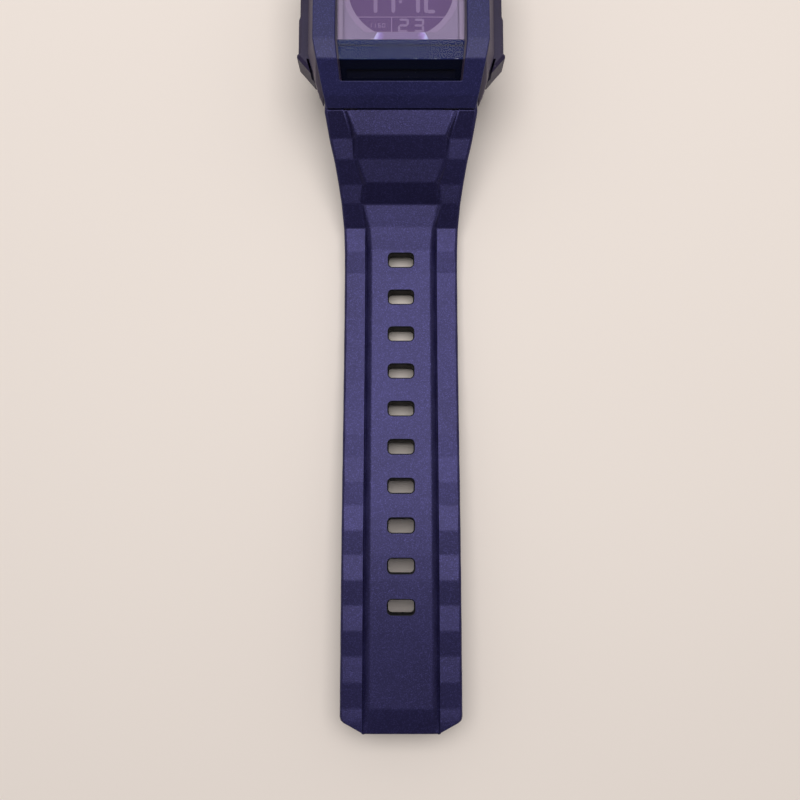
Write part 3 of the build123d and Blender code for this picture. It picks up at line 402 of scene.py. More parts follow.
steel_finish = make_brushed_steel("brushed_steel", (9000.0, 260.0, 9000.0),
                                  srgb(150, 149, 151), srgb(186, 185, 186),
                                  0.26, 0.4, 0.004 * mm)
screw_finish = make_brushed_steel("turned_steel", (5000.0, 5000.0, 900.0),
                                  srgb(168, 167, 168), srgb(200, 199, 198),
                                  0.2, 0.32, 0.003 * mm)
rubber_finish = make_plain("seal_rubber_black", 3500.0, srgb(22, 20, 26), srgb(34, 31, 38),
                           depth=0.01 * mm, Roughness=0.55)
dress(steel_finish, "case_back")
dress(screw_finish, "case_back_screws")
soften_edges("case_back_screws", screw_round, clamp=True)
dress(rubber_finish, "back_gasket", "button_seals", "module_cushion")

# Module
# The works under the display: a moulded frame, the board with its chips and quartz can,
# the rechargeable cell with its clip, the sounder disc and the leaf contacts.
plastic_finish = make_plain("module_plastic_white", 2500.0, srgb(186, 184, 178),
                            srgb(206, 204, 198), depth=0.01 * mm, Roughness=0.5)
dress(plastic_finish, "module_frame")

board_finish, tree, shader = new_finish("board_laminate_green")
weave = add_texture(tree, "ShaderNodeTexBrick", surface_place(tree), Scale=900.0,
                    Color1=srgb(22, 72, 48), Color2=srgb(28, 82, 56),
                    Mortar=srgb(38, 96, 66))
paint(tree, shader, weave.outputs["Color"])
set_inputs(shader, Roughness=0.35)
dress(board_finish, "circuit_board")

chip_finish = make_plain("chip_resin_black", 9000.0, srgb(18, 18, 20), srgb(34, 34, 37),
                         shade="Height", Roughness=0.6)
dress(chip_finish, "module_chips", "lcd_connectors")
dress(screw_finish, "quartz_resonator", "storage_cell", "cell_clip", "button_contacts")

brass_finish, tree, shader = new_finish("brass_sheet")
brass_brush = place_effect(tree, brushing, Stretch=(260.0, 7000.0, 7000.0))
paint(tree, shader, blend_colors(tree, brass_brush.outputs["Streak"], srgb(178, 146, 84),
                                 srgb(206, 176, 112)))
set_inputs(shader, Metallic=1.0, Roughness=0.3)
dress(brass_finish, "piezo_element")

glow_finish = make_plain("light_panel_film", 1200.0, srgb(206, 214, 214),
                         srgb(220, 228, 226), Roughness=0.5)
dress(glow_finish, "backlight_panel")

# Display
# A liquid crystal panel with violet polariser film: dark ground, with the lit segments of
# the time, the seconds and a date as paler bars between thin dividing lines.
panel_finish, tree, shader = new_finish("display_violet")
panel_grain = place_effect(tree, grain, Scale=1500.0)
paint(tree, shader, blend_colors(tree, panel_grain.outputs["Mottle"], srgb(95, 72, 113),
                                 srgb(110, 84, 127)))
vary_roughness(tree, shader, panel_grain, 0.3, 0.4)
set_inputs(shader, Specular_IOR_Level=0.15)
dress(panel_finish, "lcd_panel")

segment_finish = make_plain("display_segment", 2600.0, srgb(121, 97, 137),
                            srgb(134, 109, 148), Roughness=0.4)
segment_lift = 0.02 * mm
segment_height = 0.03 * mm
segment_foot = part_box("lcd_panel")[1][2] + segment_lift
stroke_gap = 0.12
# Strokes that each numeral lights; a is the top one, b to f follow clockwise, g is across
numeral_strokes = {
    "0": "abcdef", "1": "bc", "2": "abged", "3": "abgcd", "6": "afgedc",
}


def add_plate(mesh, outline, bottom, thickness):
    """Closed plate on a plan outline that runs counterclockwise."""
    low = [mesh.verts.new((x, y, bottom)) for x, y in outline]
    high = [mesh.verts.new((x, y, bottom + thickness)) for x, y in outline]
    mesh.faces.new(low[::-1])
    mesh.faces.new(high)
    for index in range(len(outline)):
        after = (index + 1) % len(outline)
        mesh.faces.new((low[index], low[after], high[after], high[index]))


def add_strip(mesh, x_from, y_from, x_to, y_to):
    """Rectangular bar on the display."""
    add_plate(mesh, [(x_from, y_from), (x_to, y_from), (x_to, y_to), (x_from, y_to)],
              segment_foot, segment_height)


def add_bar(mesh, center_x, center_y, width, height):
    """Stroke of a numeral, with mitred ends."""
    half_x = width / 2
    half_y = height / 2
    point = min(half_x, half_y)
    if width > height:
        outline = [(-half_x, 0), (-half_x + point, -half_y), (half_x - point, -half_y),
                   (half_x, 0), (half_x - point, half_y), (-half_x + point, half_y)]
    else:
        outline = [(0, -half_y), (half_x, -half_y + point), (half_x, half_y - point),
                   (0, half_y), (-half_x, half_y - point), (-half_x, -half_y + point)]
    add_plate(mesh, [(center_x + x, center_y + y) for x, y in outline], segment_foot,
              segment_height)


def add_numerals(mesh, numerals, lefts, base, width, height, stroke):
    """Row of seven-stroke numerals that stand on one base line."""
    gap = stroke * stroke_gap
    middle = base + height / 2
    long = width - stroke - gap
    up = height / 2 - gap
    for numeral, left in zip(numerals, lefts):
        strokes = {
            "a": (left + width / 2, base + height - stroke / 2, long, stroke),
            "g": (left + width / 2, middle, long, stroke),
            "d": (left + width / 2, base + stroke / 2, long, stroke),
            "b": (left + width - stroke / 2, middle + height / 4, stroke, up),
            "c": (left + width - stroke / 2, middle - height / 4, stroke, up),
            "e": (left + stroke / 2, middle - height / 4, stroke, up),
            "f": (left + stroke / 2, middle + height / 4, stroke, up),
        }
        for key in numeral_strokes[numeral]:
            add_bar(mesh, *strokes[key])


def finish_piece(mesh, name, finish, body):
    """Turn a built mesh into a piece that rides on a body."""
    bmesh.ops.recalc_face_normals(mesh, faces=mesh.faces)
    piece = add_mesh_object(name, mesh)
    piece.data.materials.append(finish)
    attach(piece, body)
    return piece


time_base = -4.85 * mm
time_height = 7.8 * mm
time_width = 2.6 * mm
time_stroke = 0.74 * mm
time_lefts = [-7.1 * mm, -3.7 * mm, 1.0 * mm, 4.4 * mm]
colon_x = -0.1 * mm
colon_half = 0.55 * mm / 2
colon_shares = (0.3, 0.7)
small_base = -8.65 * mm
small_height = 2.75 * mm
small_width = 2.1 * mm
small_stroke = 0.45 * mm
small_lefts = [-0.6 * mm, 2.3 * mm]
date_base = 5.1 * mm
date_height = 2.6 * mm
date_lefts = [-5.8 * mm, -3.1 * mm, 1.0 * mm, 3.7 * mm]
tiny_base = -7.7 * mm
tiny_height = 0.85 * mm
tiny_width = 0.6 * mm
tiny_stroke = 0.14 * mm
tiny_lefts = [-6.2 * mm, -5.4 * mm, -4.4 * mm, -3.6 * mm]
segments = bmesh.new()
add_numerals(segments, "1112", time_lefts, time_base, time_width, time_height, time_stroke)
for share in colon_shares:
    colon_y = time_base + time_height * share
    add_strip(segments, colon_x - colon_half, colon_y - colon_half, colon_x + colon_half,
              colon_y + colon_half)
add_numerals(segments, "23", small_lefts, small_base, small_width, small_height, small_stroke)
add_numerals(segments, "1026", date_lefts, date_base, small_width, date_height, small_stroke)
add_numerals(segments, "1160", tiny_lefts, tiny_base, tiny_width, tiny_height, tiny_stroke)
finish_piece(segments, "display_numerals", segment_finish, "case")

line_finish = make_plain("display_line", 2600.0, srgb(133, 108, 148), srgb(146, 120, 160),
                         Roughness=0.4)
line_half = 0.16 * mm / 2
divider_y = -5.6 * mm
upper_divider_y = 4.2 * mm
divider_half = 8.8 * mm
divider_x = -1.8 * mm
divider_end_y = -8.8 * mm
lines = bmesh.new()
for y in (divider_y, upper_divider_y):
    add_strip(lines, -divider_half, y - line_half, divider_half, y + line_half)
add_strip(lines, divider_x - line_half, divider_end_y, divider_x + line_half, divider_y)
finish_piece(lines, "display_dividers", line_finish, "case")

# Mask and its printed rings
# A printed film sheet under the glass, pale lilac round the display, with a raised ring
# round the window and an iridescent strip where the window is cut flat.
mask_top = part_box("dial_mask")[1][2]
dial_radius = 10.1 * mm
dial_flat = 8.85 * mm
ring_radius = 11.2 * mm
ring_gap = 0.02 * mm
ring_lap = 0.1 * mm
ring_thickness = 0.03 * mm
ring_steps = 144
print_lift = 0.012 * mm
print_thickness = 0.02 * mm
mask_half_x = 11.1 * mm
mask_finish, tree, shader = new_finish("mask_film_lilac")
mask_grain = place_effect(tree, grain, Scale=3800.0)
mask_dust = place_effect(tree, dust, Scale=1300.0, Amount=0.02)
mask_color = blend_colors(tree, mask_grain.outputs["Mottle"], srgb(129, 116, 141),
                          srgb(144, 131, 154))
paint(tree, shader,
      blend_colors(tree, mask_dust.outputs["Mask"], mask_color, srgb(190, 184, 200)))
vary_roughness(tree, shader, mask_grain, 0.32, 0.44)
set_inputs(shader, Metallic=0.1, Specular_IOR_Level=0.1)
dress(mask_finish, "dial_mask")

ring_finish = make_plain("mask_ring_violet", 3800.0, srgb(137, 120, 147),
                         srgb(151, 135, 161), Roughness=0.34, Metallic=0.1,
                         Specular_IOR_Level=0.15)


def flat_circle_outline(radius, limit_x, limit_y):
    """Round outline cut off straight at its sides and ends."""
    outline = []
    for step in range(ring_steps):
        angle = 2 * pi * step / ring_steps
        x = max(-limit_x, min(limit_x, radius * cos(angle)))
        y = max(-limit_y, min(limit_y, radius * sin(angle)))
        outline.append((x, y))
    return outline


def add_frame_plate(mesh, inner, outer, bottom, thickness):
    """Closed ring plate between two outlines with as many points each."""
    rings = []
    for outline, z in ((inner, bottom), (outer, bottom), (outer, bottom + thickness),
                       (inner, bottom + thickness)):
        rings.append([mesh.verts.new((x, y, z)) for x, y in outline])
    count = len(inner)
    for ring, following in zip(rings, rings[1:] + rings[:1]):
        for index in range(count):
            after = (index + 1) % count
            mesh.faces.new((ring[index], following[index], following[after], ring[after]))


ring_mesh = bmesh.new()
add_frame_plate(
    ring_mesh,
    flat_circle_outline(dial_radius + ring_gap, mask_half_x, dial_flat),
    flat_circle_outline(ring_radius, mask_half_x, dial_flat + ring_lap),
    mask_top + print_lift,
    ring_thickness,
)
finish_piece(ring_mesh, "dial_ring", ring_finish, "case")

# The iridescent strip is a plain bar of foil; its colours go from violet to white and back
foil_half = 5.4 * mm
foil_start = 8.98 * mm
foil_end = 10.6 * mm
foil_flare = 0.9 * mm
foil_ripple = 0.04
foil_finish, tree, shader = new_finish("iridescent_foil")
foil_ramp = tree.nodes.new("ShaderNodeValToRGB")
foil_colors = [
    (0.0, srgb(150, 130, 186)), (0.06, srgb(206, 200, 236)), (0.13, srgb(160, 138, 200)),
    (0.2, srgb(140, 122, 156)), (0.8, srgb(140, 121, 158)), (0.87, srgb(176, 148, 210)),
    (0.93, srgb(202, 204, 238)), (1.0, srgb(146, 134, 190)),
]
for index, (share, color) in enumerate(foil_colors):
    if index < 2:
        stop = foil_ramp.color_ramp.elements[index]
        stop.position = share
    else:
        stop = foil_ramp.color_ramp.elements.new(share)
    stop.color = color
foil_wave = add_texture(tree, "ShaderNodeTexNoise", surface_place(tree), Scale=900.0)
foil_shift = remap(tree, foil_wave.outputs["Fac"], -foil_ripple, foil_ripple, low=0.2,
                   high=0.8)
foil_along = remap(tree, split_place(tree)["X"], 0.0, 1.0, low=-foil_half, high=foil_half)
tree.links.new(reckon(tree, "ADD", foil_along, foil_shift), foil_ramp.inputs["Fac"])
paint(tree, shader, foil_ramp.outputs["Color"])
set_inputs(shader, Roughness=0.3, Specular_IOR_Level=0.15)
foil_mesh = bmesh.new()
add_plate(
    foil_mesh,
    [(-foil_half + foil_flare, -foil_start), (-foil_half, -foil_end), (foil_half, -foil_end),
     (foil_half - foil_flare, -foil_start)],
    mask_top + print_lift + ring_thickness,
    print_thickness,
)
finish_piece(foil_mesh, "foil_strip", foil_finish, "case")

# Solar cells
# Black silicon strips under the steep end facets of the glass, with hair-thin gaps
# between their cells.
solar_finish, tree, shader = new_finish("solar_black")
solar_gaps = add_texture(tree, "ShaderNodeTexBrick", surface_place(tree), Scale=1000.0,
                         Brick_Width=5.45, Row_Height=40.0, Mortar_Size=0.03,
                         Color1=srgb(12, 15, 32), Color2=srgb(14, 17, 35),
                         Mortar=srgb(20, 22, 40))
paint(tree, shader, solar_gaps.outputs["Color"])
set_inputs(shader, Roughness=0.4, Specular_IOR_Level=0.1)
dress(solar_finish, "solar_cells")

# Glass and its seal
# One mineral glass plate, ground to five facets, with a violet coating and tiny chips
# along its creases from wear. A dark rubber seal runs all round it.
crease_round = 0.1 * mm
glass_finish, tree, shader = new_finish("mineral_glass_clear")
set_inputs(shader, Base_Color=(0.93, 0.92, 0.97, 1), IOR=1.2, Transmission_Weight=1.0)
glass_smear = place_effect(tree, grain, Scale=9000.0)
tree.links.new(remap(tree, glass_smear.outputs["Mottle"], 0.0, 0.03, low=0.35),
               shader.inputs["Roughness"])
clear_way = tree.nodes.new("ShaderNodeBsdfTransparent")
set_inputs(clear_way, Color=(0.92, 0.92, 0.96, 1))
light_path = tree.nodes.new("ShaderNodeLightPath")
lit_through = reckon(tree, "MAXIMUM", light_path.outputs["Is Shadow Ray"],
                     light_path.outputs["Is Diffuse Ray"])
glass_mix = tree.nodes.new("ShaderNodeMixShader")
tree.links.new(lit_through, glass_mix.inputs["Fac"])
tree.links.new(shader.outputs["BSDF"], glass_mix.inputs[1])
tree.links.new(clear_way.outputs["BSDF"], glass_mix.inputs[2])
tree.links.new(glass_mix.outputs["Shader"],
               tree.nodes["Material Output"].inputs["Surface"])
dress(glass_finish, "crystal")
soften_edges("crystal", crease_round, angle=5)

gasket_finish = make_plain("seal_rubber_violet", 3500.0, srgb(38, 28, 50),
                           srgb(54, 40, 68), Roughness=0.5)
dress(gasket_finish, "crystal_gasket")

# The glass is printed on its underside: lilac borders on the flat, slate over both
# shoulders with a fine dark line, and black round the solar cells at the ends
slate_half = 11 * mm
slate_finish, tree, shader = new_finish("slate_print")
slate_grain = place_effect(tree, grain, Scale=3000.0)
slate_across = remap(tree, split_place(tree)["X"], 0.0, 1.0, low=-slate_half,
                     high=slate_half)
slate_color = blend_colors(tree, slate_across, srgb(30, 43, 90), srgb(35, 40, 86))
paint(tree, shader, blend_colors(tree, remap(tree, slate_grain.outputs["Mottle"], 0.0, 0.3),
                                 slate_color, srgb(44, 54, 100)))
set_inputs(shader, Roughness=0.6, Specular_IOR_Level=0.0)
black_finish = make_plain("black_print", 3000.0, srgb(11, 14, 30), srgb(14, 17, 34),
                          Roughness=0.6, Specular_IOR_Level=0.0)

# The dome's side outline, which the glass and the bezel follow
dome_half = [(0, 13.0 * mm), (11.5 * mm, 13.0 * mm), (15.2 * mm, 12.55 * mm),
             (20.3 * mm, 8.3 * mm), (22.0 * mm, 6.1 * mm)]
under_glass = 2.07 * mm
flat_end = 11.37 * mm
shoulder_end = 14.33 * mm
glass_end = 17.85 * mm
slate_start = 10.8 * mm
line_start = 11.7 * mm
line_end = 11.95 * mm
black_start = 14.27 * mm
cell_start = 15.65 * mm
cell_end = 16.9 * mm
cell_out = 11.42 * mm
border_in = 11.0 * mm
border_out = 11.88 * mm
border_cell = 10.3 * mm
border_end = 11.7 * mm
end_out = 11.2 * mm


def dome_height(y, depth):
    """Height of the dome at a distance from the middle, moved inward by a depth."""
    heights = []
    for (y0, z0), (y1, z1) in zip(dome_half, dome_half[1:]):
        slope = (z1 - z0) / (y1 - y0)
        heights.append(z0 + slope * (abs(y) - y0) - depth * sqrt(1 + slope ** 2))
    return min(heights)


def add_print(mesh, *rows):
    """Thin print under the glass; each row gives its place along Y, and both its ends."""
    low = []
    high = []
    for y, x_from, x_to in rows:
        for x in (x_from, x_to):
            low.append(mesh.verts.new((x, y, dome_height(y, under_glass + print_thickness))))
            high.append(mesh.verts.new((x, y, dome_height(y, under_glass))))
    for row in range(len(rows) - 1):
        first = 2 * row
        mesh.faces.new((high[first], high[first + 1], high[first + 3], high[first + 2]))
        mesh.faces.new((low[first], low[first + 2], low[first + 3], low[first + 1]))
        mesh.faces.new((low[first], high[first], high[first + 2], low[first + 2]))
        mesh.faces.new((low[first + 1], low[first + 3], high[first + 3], high[first + 1]))
    mesh.faces.new((low[0], low[1], high[1], high[0]))
    mesh.faces.new((low[-2], high[-2], high[-1], low[-1]))


def across(y, half):
    """Row of a print that runs from side to side."""
    return y, -half, half


lilac_mesh = bmesh.new()
slate_mesh = bmesh.new()
black_mesh = bmesh.new()
for side in (-1, 1):
    add_print(lilac_mesh, (-slate_start, side * border_in, side * border_out),
              (slate_start, side * border_in, side * border_out))
    add_print(slate_mesh, *[across(side * y, border_out)
                            for y in (slate_start, flat_end, line_start)])
    add_print(slate_mesh, across(side * line_end, border_out),
              across(side * black_start, border_out))
    add_print(black_mesh, across(side * line_start, border_out),
              across(side * line_end, border_out))
    add_print(black_mesh, across(side * cell_end, cell_out), across(side * glass_end, end_out))
    add_print(black_mesh, across(side * black_start, border_out),
              across(side * shoulder_end, border_out), across(side * cell_start, border_end))
    for edge in (-1, 1):
        add_print(black_mesh, (side * cell_start, edge * border_cell, edge * border_end),
                  (side * cell_end, edge * border_cell, edge * cell_out))
finish_piece(lilac_mesh, "glass_border_print", mask_finish, "case")
finish_piece(slate_mesh, "shoulder_print", slate_finish, "case")
finish_piece(black_mesh, "window_print", black_finish, "case")

# Wear has left tiny pale chips along the two ground creases at each end of the glass
chip_pale = make_plain("chipped_glass", 9000.0, srgb(120, 124, 156), srgb(196, 198, 214),
                       shade="Height", Roughness=0.5)
glass_sink = 0.5 * mm
chip_reach = 11.5
chip_sizes = (0.03, 0.035, 0.04, 0.05, 0.08)
chip_longest = 2.6
chip_flatness = 0.6
chip_sunk = 0.25
worn_creases = ((11.47 * mm, 22), (14.99 * mm, 34))
chip_random = Random(7)
chip_mesh = bmesh.new()
for crease, count in worn_creases:
    for side in (-1, 1):
        for number in range(count):
            x = chip_random.uniform(-chip_reach, chip_reach) * mm
            size = chip_random.choice(chip_sizes) * mm
            length = chip_random.uniform(1.0, chip_longest)
            z = dome_height(crease, glass_sink) - size * chip_sunk
            flake = bmesh.ops.create_icosphere(chip_mesh, subdivisions=1, radius=size)["verts"]
            for vertex in flake:
                vertex.co = Vector((x + vertex.co[0] * length, side * crease + vertex.co[1],
                                    z + vertex.co[2] * chip_flatness))
finish_piece(chip_mesh, "glass_edge_chips", chip_pale, "case")

# Bezel
# One moulding of pearl navy resin with flat facets, which snaps over the case. The window
# has a thin lip, and the etched grain is the same as on the strap.
bezel_round = 0.28 * mm
resin_grain_scale = 4200.0
resin_grain_depth = 0.02 * mm

# Mica: fine pearl flakes that lie in the resin, each a cell of its own brightness
mica_scale = 7500.0
dullest_flake = 0.7
flake_strength = 0.85
mica, entry, leave = new_effect("mica_flecks", {"Scale": mica_scale}, ["Mask"])
flakes = add_texture(mica, "ShaderNodeTexVoronoi", surface_place(mica))
mica.links.new(entry.outputs["Scale"], flakes.inputs["Scale"])
mica.links.new(remap(mica, cell_value(mica, flakes), 0.0, flake_strength,
                     low=dullest_flake, high=1.0), leave.inputs["Mask"])


def make_navy_resin(name, deep, lift, fleck, pearl, gloss):
    """Pearl navy resin: mica flecks in a dark ground under an etched grain."""
    finish, tree, shader = new_finish(name)
    resin_grain = place_effect(tree, grain, Scale=resin_grain_scale)
    flecks = place_effect(tree, mica, Scale=mica_scale)
    ground = blend_colors(tree, remap(tree, resin_grain.outputs["Mottle"], 0.0, 1.0), deep,
                          lift)
    paint(tree, shader, blend_colors(tree, flecks.outputs["Mask"], ground, fleck))
    vary_roughness(tree, shader, resin_grain, 0.33, 0.43)
    set_inputs(shader, Metallic=pearl, Specular_IOR_Level=gloss)
    raise_surface(tree, shader, resin_grain, resin_grain_depth)
    return finish


bezel_finish = make_navy_resin("pearl_navy_bezel", srgb(38, 38, 79), srgb(43, 43, 87),
                               srgb(62, 61, 118), 0.12, 0.2)
dress(bezel_finish, "bezel")
soften_edges("bezel", bezel_round, angle=4, segments=3)

# Buttons
# Four turned steel caps on shafts through rubber rings into the case, each with a coil
# spring round the shaft, which shortens as the cap goes in, and a clip on its inner end.
button_finish = make_brushed_steel("button_steel", (500.0, 8000.0, 8000.0),
                                   srgb(118, 116, 126), srgb(146, 144, 152),
                                   0.28, 0.42, 0.003 * mm)
for place_name in ("upper_left", "lower_left", "upper_right", "lower_right"):
    side = -1 if place_name.endswith("left") else 1
    dress(button_finish, f"button_{place_name}")
    dress(screw_finish, f"button_spring_{place_name}", f"button_clip_{place_name}")
    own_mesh(nodes_of_frame[f"button_spring_{place_name}"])

# Spring bars
# Steel tubes through the strap's knuckles, with a sprung tip at each end that sits in a
# hole of the case's lug.
for half in ("long", "short"):
    dress(screw_finish, f"spring_bar_tube_{half}", f"spring_bar_tips_{half}",
          f"spring_bar_spring_{half}")

# Straps
# Two mouldings of the same pearl navy resin: a plank down the middle between two rails of
# facets that rise and fall, wider at the case, where both are cut into steep steps.
navy_finish = make_navy_resin("pearl_navy_strap", srgb(37, 34, 72), srgb(42, 39, 81),
                              srgb(62, 59, 112), 0.55, 0.32)
strap_half = 11.45 * mm
root_half = 14.85 * mm
root_y = 22.2 * mm
bar_y = 20.4 * mm
bar_z = 3.2 * mm
knuckle = 2.6 * mm
root_facet = 4.5 * mm
facet = 4.68 * mm
steep_facets = 5
thickness_tail = 3.9 * mm
plank_half = 6.0 * mm
plank_root = 10.2 * mm
plank_bevel = 1.05 * mm
root_bevel = 0.8 * mm
groove_drop = 1.0 * mm
groove_width = 0.2 * mm
rail_peak = 0.35 * mm
rail_valley = 0.68 * mm
rail_fall = 0.06 * mm
root_groove = 0.03 * mm
edge_cut = 0.4 * mm
crease_cut = 0.22 * mm
side_round = 0.15 * mm
wall_round = 0.08 * mm
groove_round = 0.03 * mm
plank_round = 0.3 * mm
rail_lean_less = 0.1 * mm
rail_lean_share = 0.4
furthest_cut = 0.45
knuckle_steps = 8
knuckle_turn = radians(88)
root_facets = 6
root_slopes = [-17, -34, -22, -40, -12, -8, -3]
long_slopes = [0, 2, 3, 4, 5, 5.5, 6, 6, 6, 5.5, 5, 4, 3, 2, 1.5, 1, 1, 1.5, 1]
short_slopes = [6, 9, 8, 0, 0, 0, 0]
root_rail_slopes = [-38, -17, -34, -17, -34, 3]
flare_shares = [1.0, 0.78, 0.52, 0.31, 0.16, 0.055]
plank_shares = [1.0, 0.67, 0.62, 0.24, 0.35, 0.10]
thickness_shares = [1.0, 0.8, 0.6, 0.4, 0.2, 0.0]


def facet_run(index):
    """Length of a facet along the strap; the steep ones at the root are shorter."""
    return root_facet if index < steep_facets else facet


def walk_strap(slopes):
    """Distance and height of the plank at each crease, from the root outward."""
    stations = [(root_y, bar_z + knuckle)]
    for index, slope in enumerate(slopes):
        distance, height = stations[-1]
        stations.append((distance + facet_run(index) * cos(radians(slope)),
                         height + facet_run(index) * sin(radians(slope))))
    return stations


def rail_levels(slopes):
    """Drop of the rails below the plank at each crease."""
    drops = [0]
    for index, (slope, rail_slope) in enumerate(zip(slopes, root_rail_slopes)):
        rise = facet_run(index) * (sin(radians(rail_slope)) - sin(radians(slope)))
        drops.append(drops[-1] - rise)
    for index in range(len(drops), len(slopes) + 1):
        drops.append(rail_valley if index % 2 else rail_peak)
    return drops


def round_corner(before, corner, after, cut):
    """Three points that replace a corner with a short curve."""
    to_before = before - corner
    to_after = after - corner
    first = corner + to_before * min(furthest_cut, cut / max(to_before.length, cut))
    last = corner + to_after * min(furthest_cut, cut / max(to_after.length, cut))
    return [first, first * 0.25 + corner * 0.5 + last * 0.25, last]


def share_at(shares, index):
    """Share of a crease, or none past the root."""
    return shares[index] if index < len(shares) else 0


def strap_ring(index, y, height, drop, bevel_drop=0, squeeze=1.0):
    """Closed outline across a strap at one crease, with its long edges rounded."""
    half = strap_half + (root_half - strap_half) * share_at(flare_shares, index)
    plank = plank_half + (plank_root - plank_half) * share_at(plank_shares, index)
    thick = thickness_tail + (knuckle + knuckle - thickness_tail) * share_at(
        thickness_shares, index)
    in_root = index < root_facets
    foot = plank + (root_bevel if in_root else plank_bevel)
    foot_drop = drop + root_groove if in_root else groove_drop
    wall = foot + groove_width
    lean = edge_cut
    if not in_root:
        lean = edge_cut - rail_lean_less + (rail_valley - drop) * rail_lean_share
    bottom = height - thick
    corners = [
        ((half - edge_cut, bottom), side_round),
        ((half, bottom + edge_cut), side_round),
        ((half, height - drop - rail_fall - edge_cut), side_round),
        ((half - lean, height - drop - rail_fall), side_round),
        ((wall, height - drop), wall_round),
        ((foot, height - foot_drop), groove_round),
        ((plank, height - bevel_drop), plank_round),
    ]
    corners = [((wall + (x - wall) * squeeze if x > wall else x, z), cut)
               for (x, z), cut in corners]
    path = corners + [((-x, z), cut) for (x, z), cut in reversed(corners)]
    ring = []
    for position, ((x, z), cut) in enumerate(path):
        before = path[position - 1][0]
        after = path[(position + 1) % len(path)][0]
        for point in round_corner(Vector((before[0], 0, before[1])), Vector((x, 0, z)),
                                  Vector((after[0], 0, after[1])), cut):
            ring.append(Vector((point[0], y, point[2])))
    return ring


def soften_along(rings, cuts):
    """Round the creases that run across a strap."""
    softened = [rings[0]]
    for index in range(1, len(rings) - 1):
        rows = [round_corner(a, b, c, cuts[index])
                for a, b, c in zip(rings[index - 1], rings[index], rings[index + 1])]
        for step in range(3):
            softened.append([row[step] for row in rows])
    softened.append(rings[-1])
    return softened


def knuckle_rings(first, sign, center_y, center_z, radius):
    """Rings that wrap a strap's end round its bar, from the tip to the first ring."""
    top = center_z + radius
    bottom = center_z - radius
    rings = []
    for step in range(knuckle_steps, 0, -1):
        angle = knuckle_turn * step / knuckle_steps
        ring = []
        for point in first:
            share = (point[2] - bottom) / (top - bottom)
            z = center_z + radius * cos(angle) * (2 * share - 1)
            ring.append(Vector((point[0], center_y + sign * radius * sin(angle), z)))
        rings.append(ring)
    return rings


def skin_rings(mesh, rings):
    """Closed skin over a row of rings, with a flat cap at both ends."""
    loops = [[mesh.verts.new(point) for point in ring] for ring in rings]
    count = len(loops[0])
    for near_loop, far_loop in zip(loops, loops[1:]):
        for index in range(count):
            after = (index + 1) % count
            mesh.faces.new((near_loop[index], near_loop[after], far_loop[after],
                            far_loop[index]))
    mesh.faces.new(loops[0][::-1])
    mesh.faces.new(loops[-1])


def rounded_box_outline(length, width, radius, steps):
    """Outline of a rectangle with round corners."""
    outline = []
    for corner, (sx, sy) in enumerate(((1, 1), (-1, 1), (-1, -1), (1, -1))):
        for step in range(steps + 1):
            angle = pi / 2 * (corner + step / steps)
            outline.append((sx * (length / 2 - radius) + radius * cos(angle),
                            sy * (width / 2 - radius) + radius * sin(angle)))
    return outline


def cut_away(piece, cutters, finish=None):
    """Subtract a cutter mesh from a piece for good; its walls may take a finish."""
    bmesh.ops.recalc_face_normals(cutters, faces=cutters.faces)
    cutter = add_mesh_object("cutter", cutters)
    if finish:
        cutter.data.materials.append(finish)
    cutting = piece.modifiers.new("cutting", "BOOLEAN")
    cutting.object = cutter
    cutting.operation = "DIFFERENCE"
    cutting.solver = "EXACT"
    cutting.material_mode = "TRANSFER" if finish else "INDEX"
    shaped = bpy.data.meshes.new_from_object(
        piece.evaluated_get(bpy.context.evaluated_depsgraph_get()))
    piece.modifiers.clear()
    piece.data = shaped
    bpy.data.objects.remove(cutter)


def cut_prism(piece, outline, x_from, x_to):
    """Cut a block along X out of a piece, on an outline drawn in Y and Z."""
    block = bmesh.new()
    low = [block.verts.new((x_from, y, z)) for y, z in outline]
    high = [block.verts.new((x_to, y, z)) for y, z in outline]
    block.faces.new(low)
    block.faces.new(high[::-1])
    for index in range(len(outline)):
        after = (index + 1) % len(outline)
        block.faces.new((low[index], high[index], high[after], low[after]))
    cut_away(piece, block)


def circle_outline(center_y, center_z, radius, steps):
    """Circle drawn in Y and Z."""
    return [(center_y + radius * cos(2 * pi * step / steps),
             center_z + radius * sin(2 * pi * step / steps)) for step in range(steps)]


def box_outline(y_from, y_to, z_from, z_to):
    """Rectangle drawn in Y and Z."""
    return [(y_from, z_from), (y_to, z_from), (y_to, z_to), (y_from, z_to)]


lug_inner = 8.1 * mm
lug_outer = 11.2 * mm
lug_round = 2.5 * mm
lug_reach = 5 * mm
lug_steps = 48
notch_end_y = 22.0 * mm
bore_radius = 0.85 * mm
bore_steps = 32


def cut_lug_notches(piece, sign):
    """Notches for the case's lugs, and the bore of the spring bar."""
    for start, end in ((lug_inner, lug_outer), (-lug_outer, -lug_inner)):
        cut_prism(piece, box_outline(sign * (bar_y - lug_reach), sign * notch_end_y,
                                     bar_z - lug_reach, bar_z + lug_reach), start, end)
        cut_prism(piece, circle_outline(sign * bar_y, bar_z, lug_round, lug_steps), start, end)
    cut_prism(piece, circle_outline(sign * bar_y, bar_z, bore_radius, bore_steps),
              -lug_inner, lug_inner)


edge_strip = 0.3 * mm
lengthwise = 0.7


def shade_facets(piece):
    """Keep the facets flat and the narrow strips along the strap smooth."""
    points = piece.data.vertices
    for face in piece.data.polygons:
        longest = max((points[a].co - points[b].co for a, b in face.edge_keys),
                      key=lambda edge: edge.length)
        narrow = face.area < longest.length * edge_strip
        face.use_smooth = narrow and abs(longest[0]) < lengthwise * longest.length


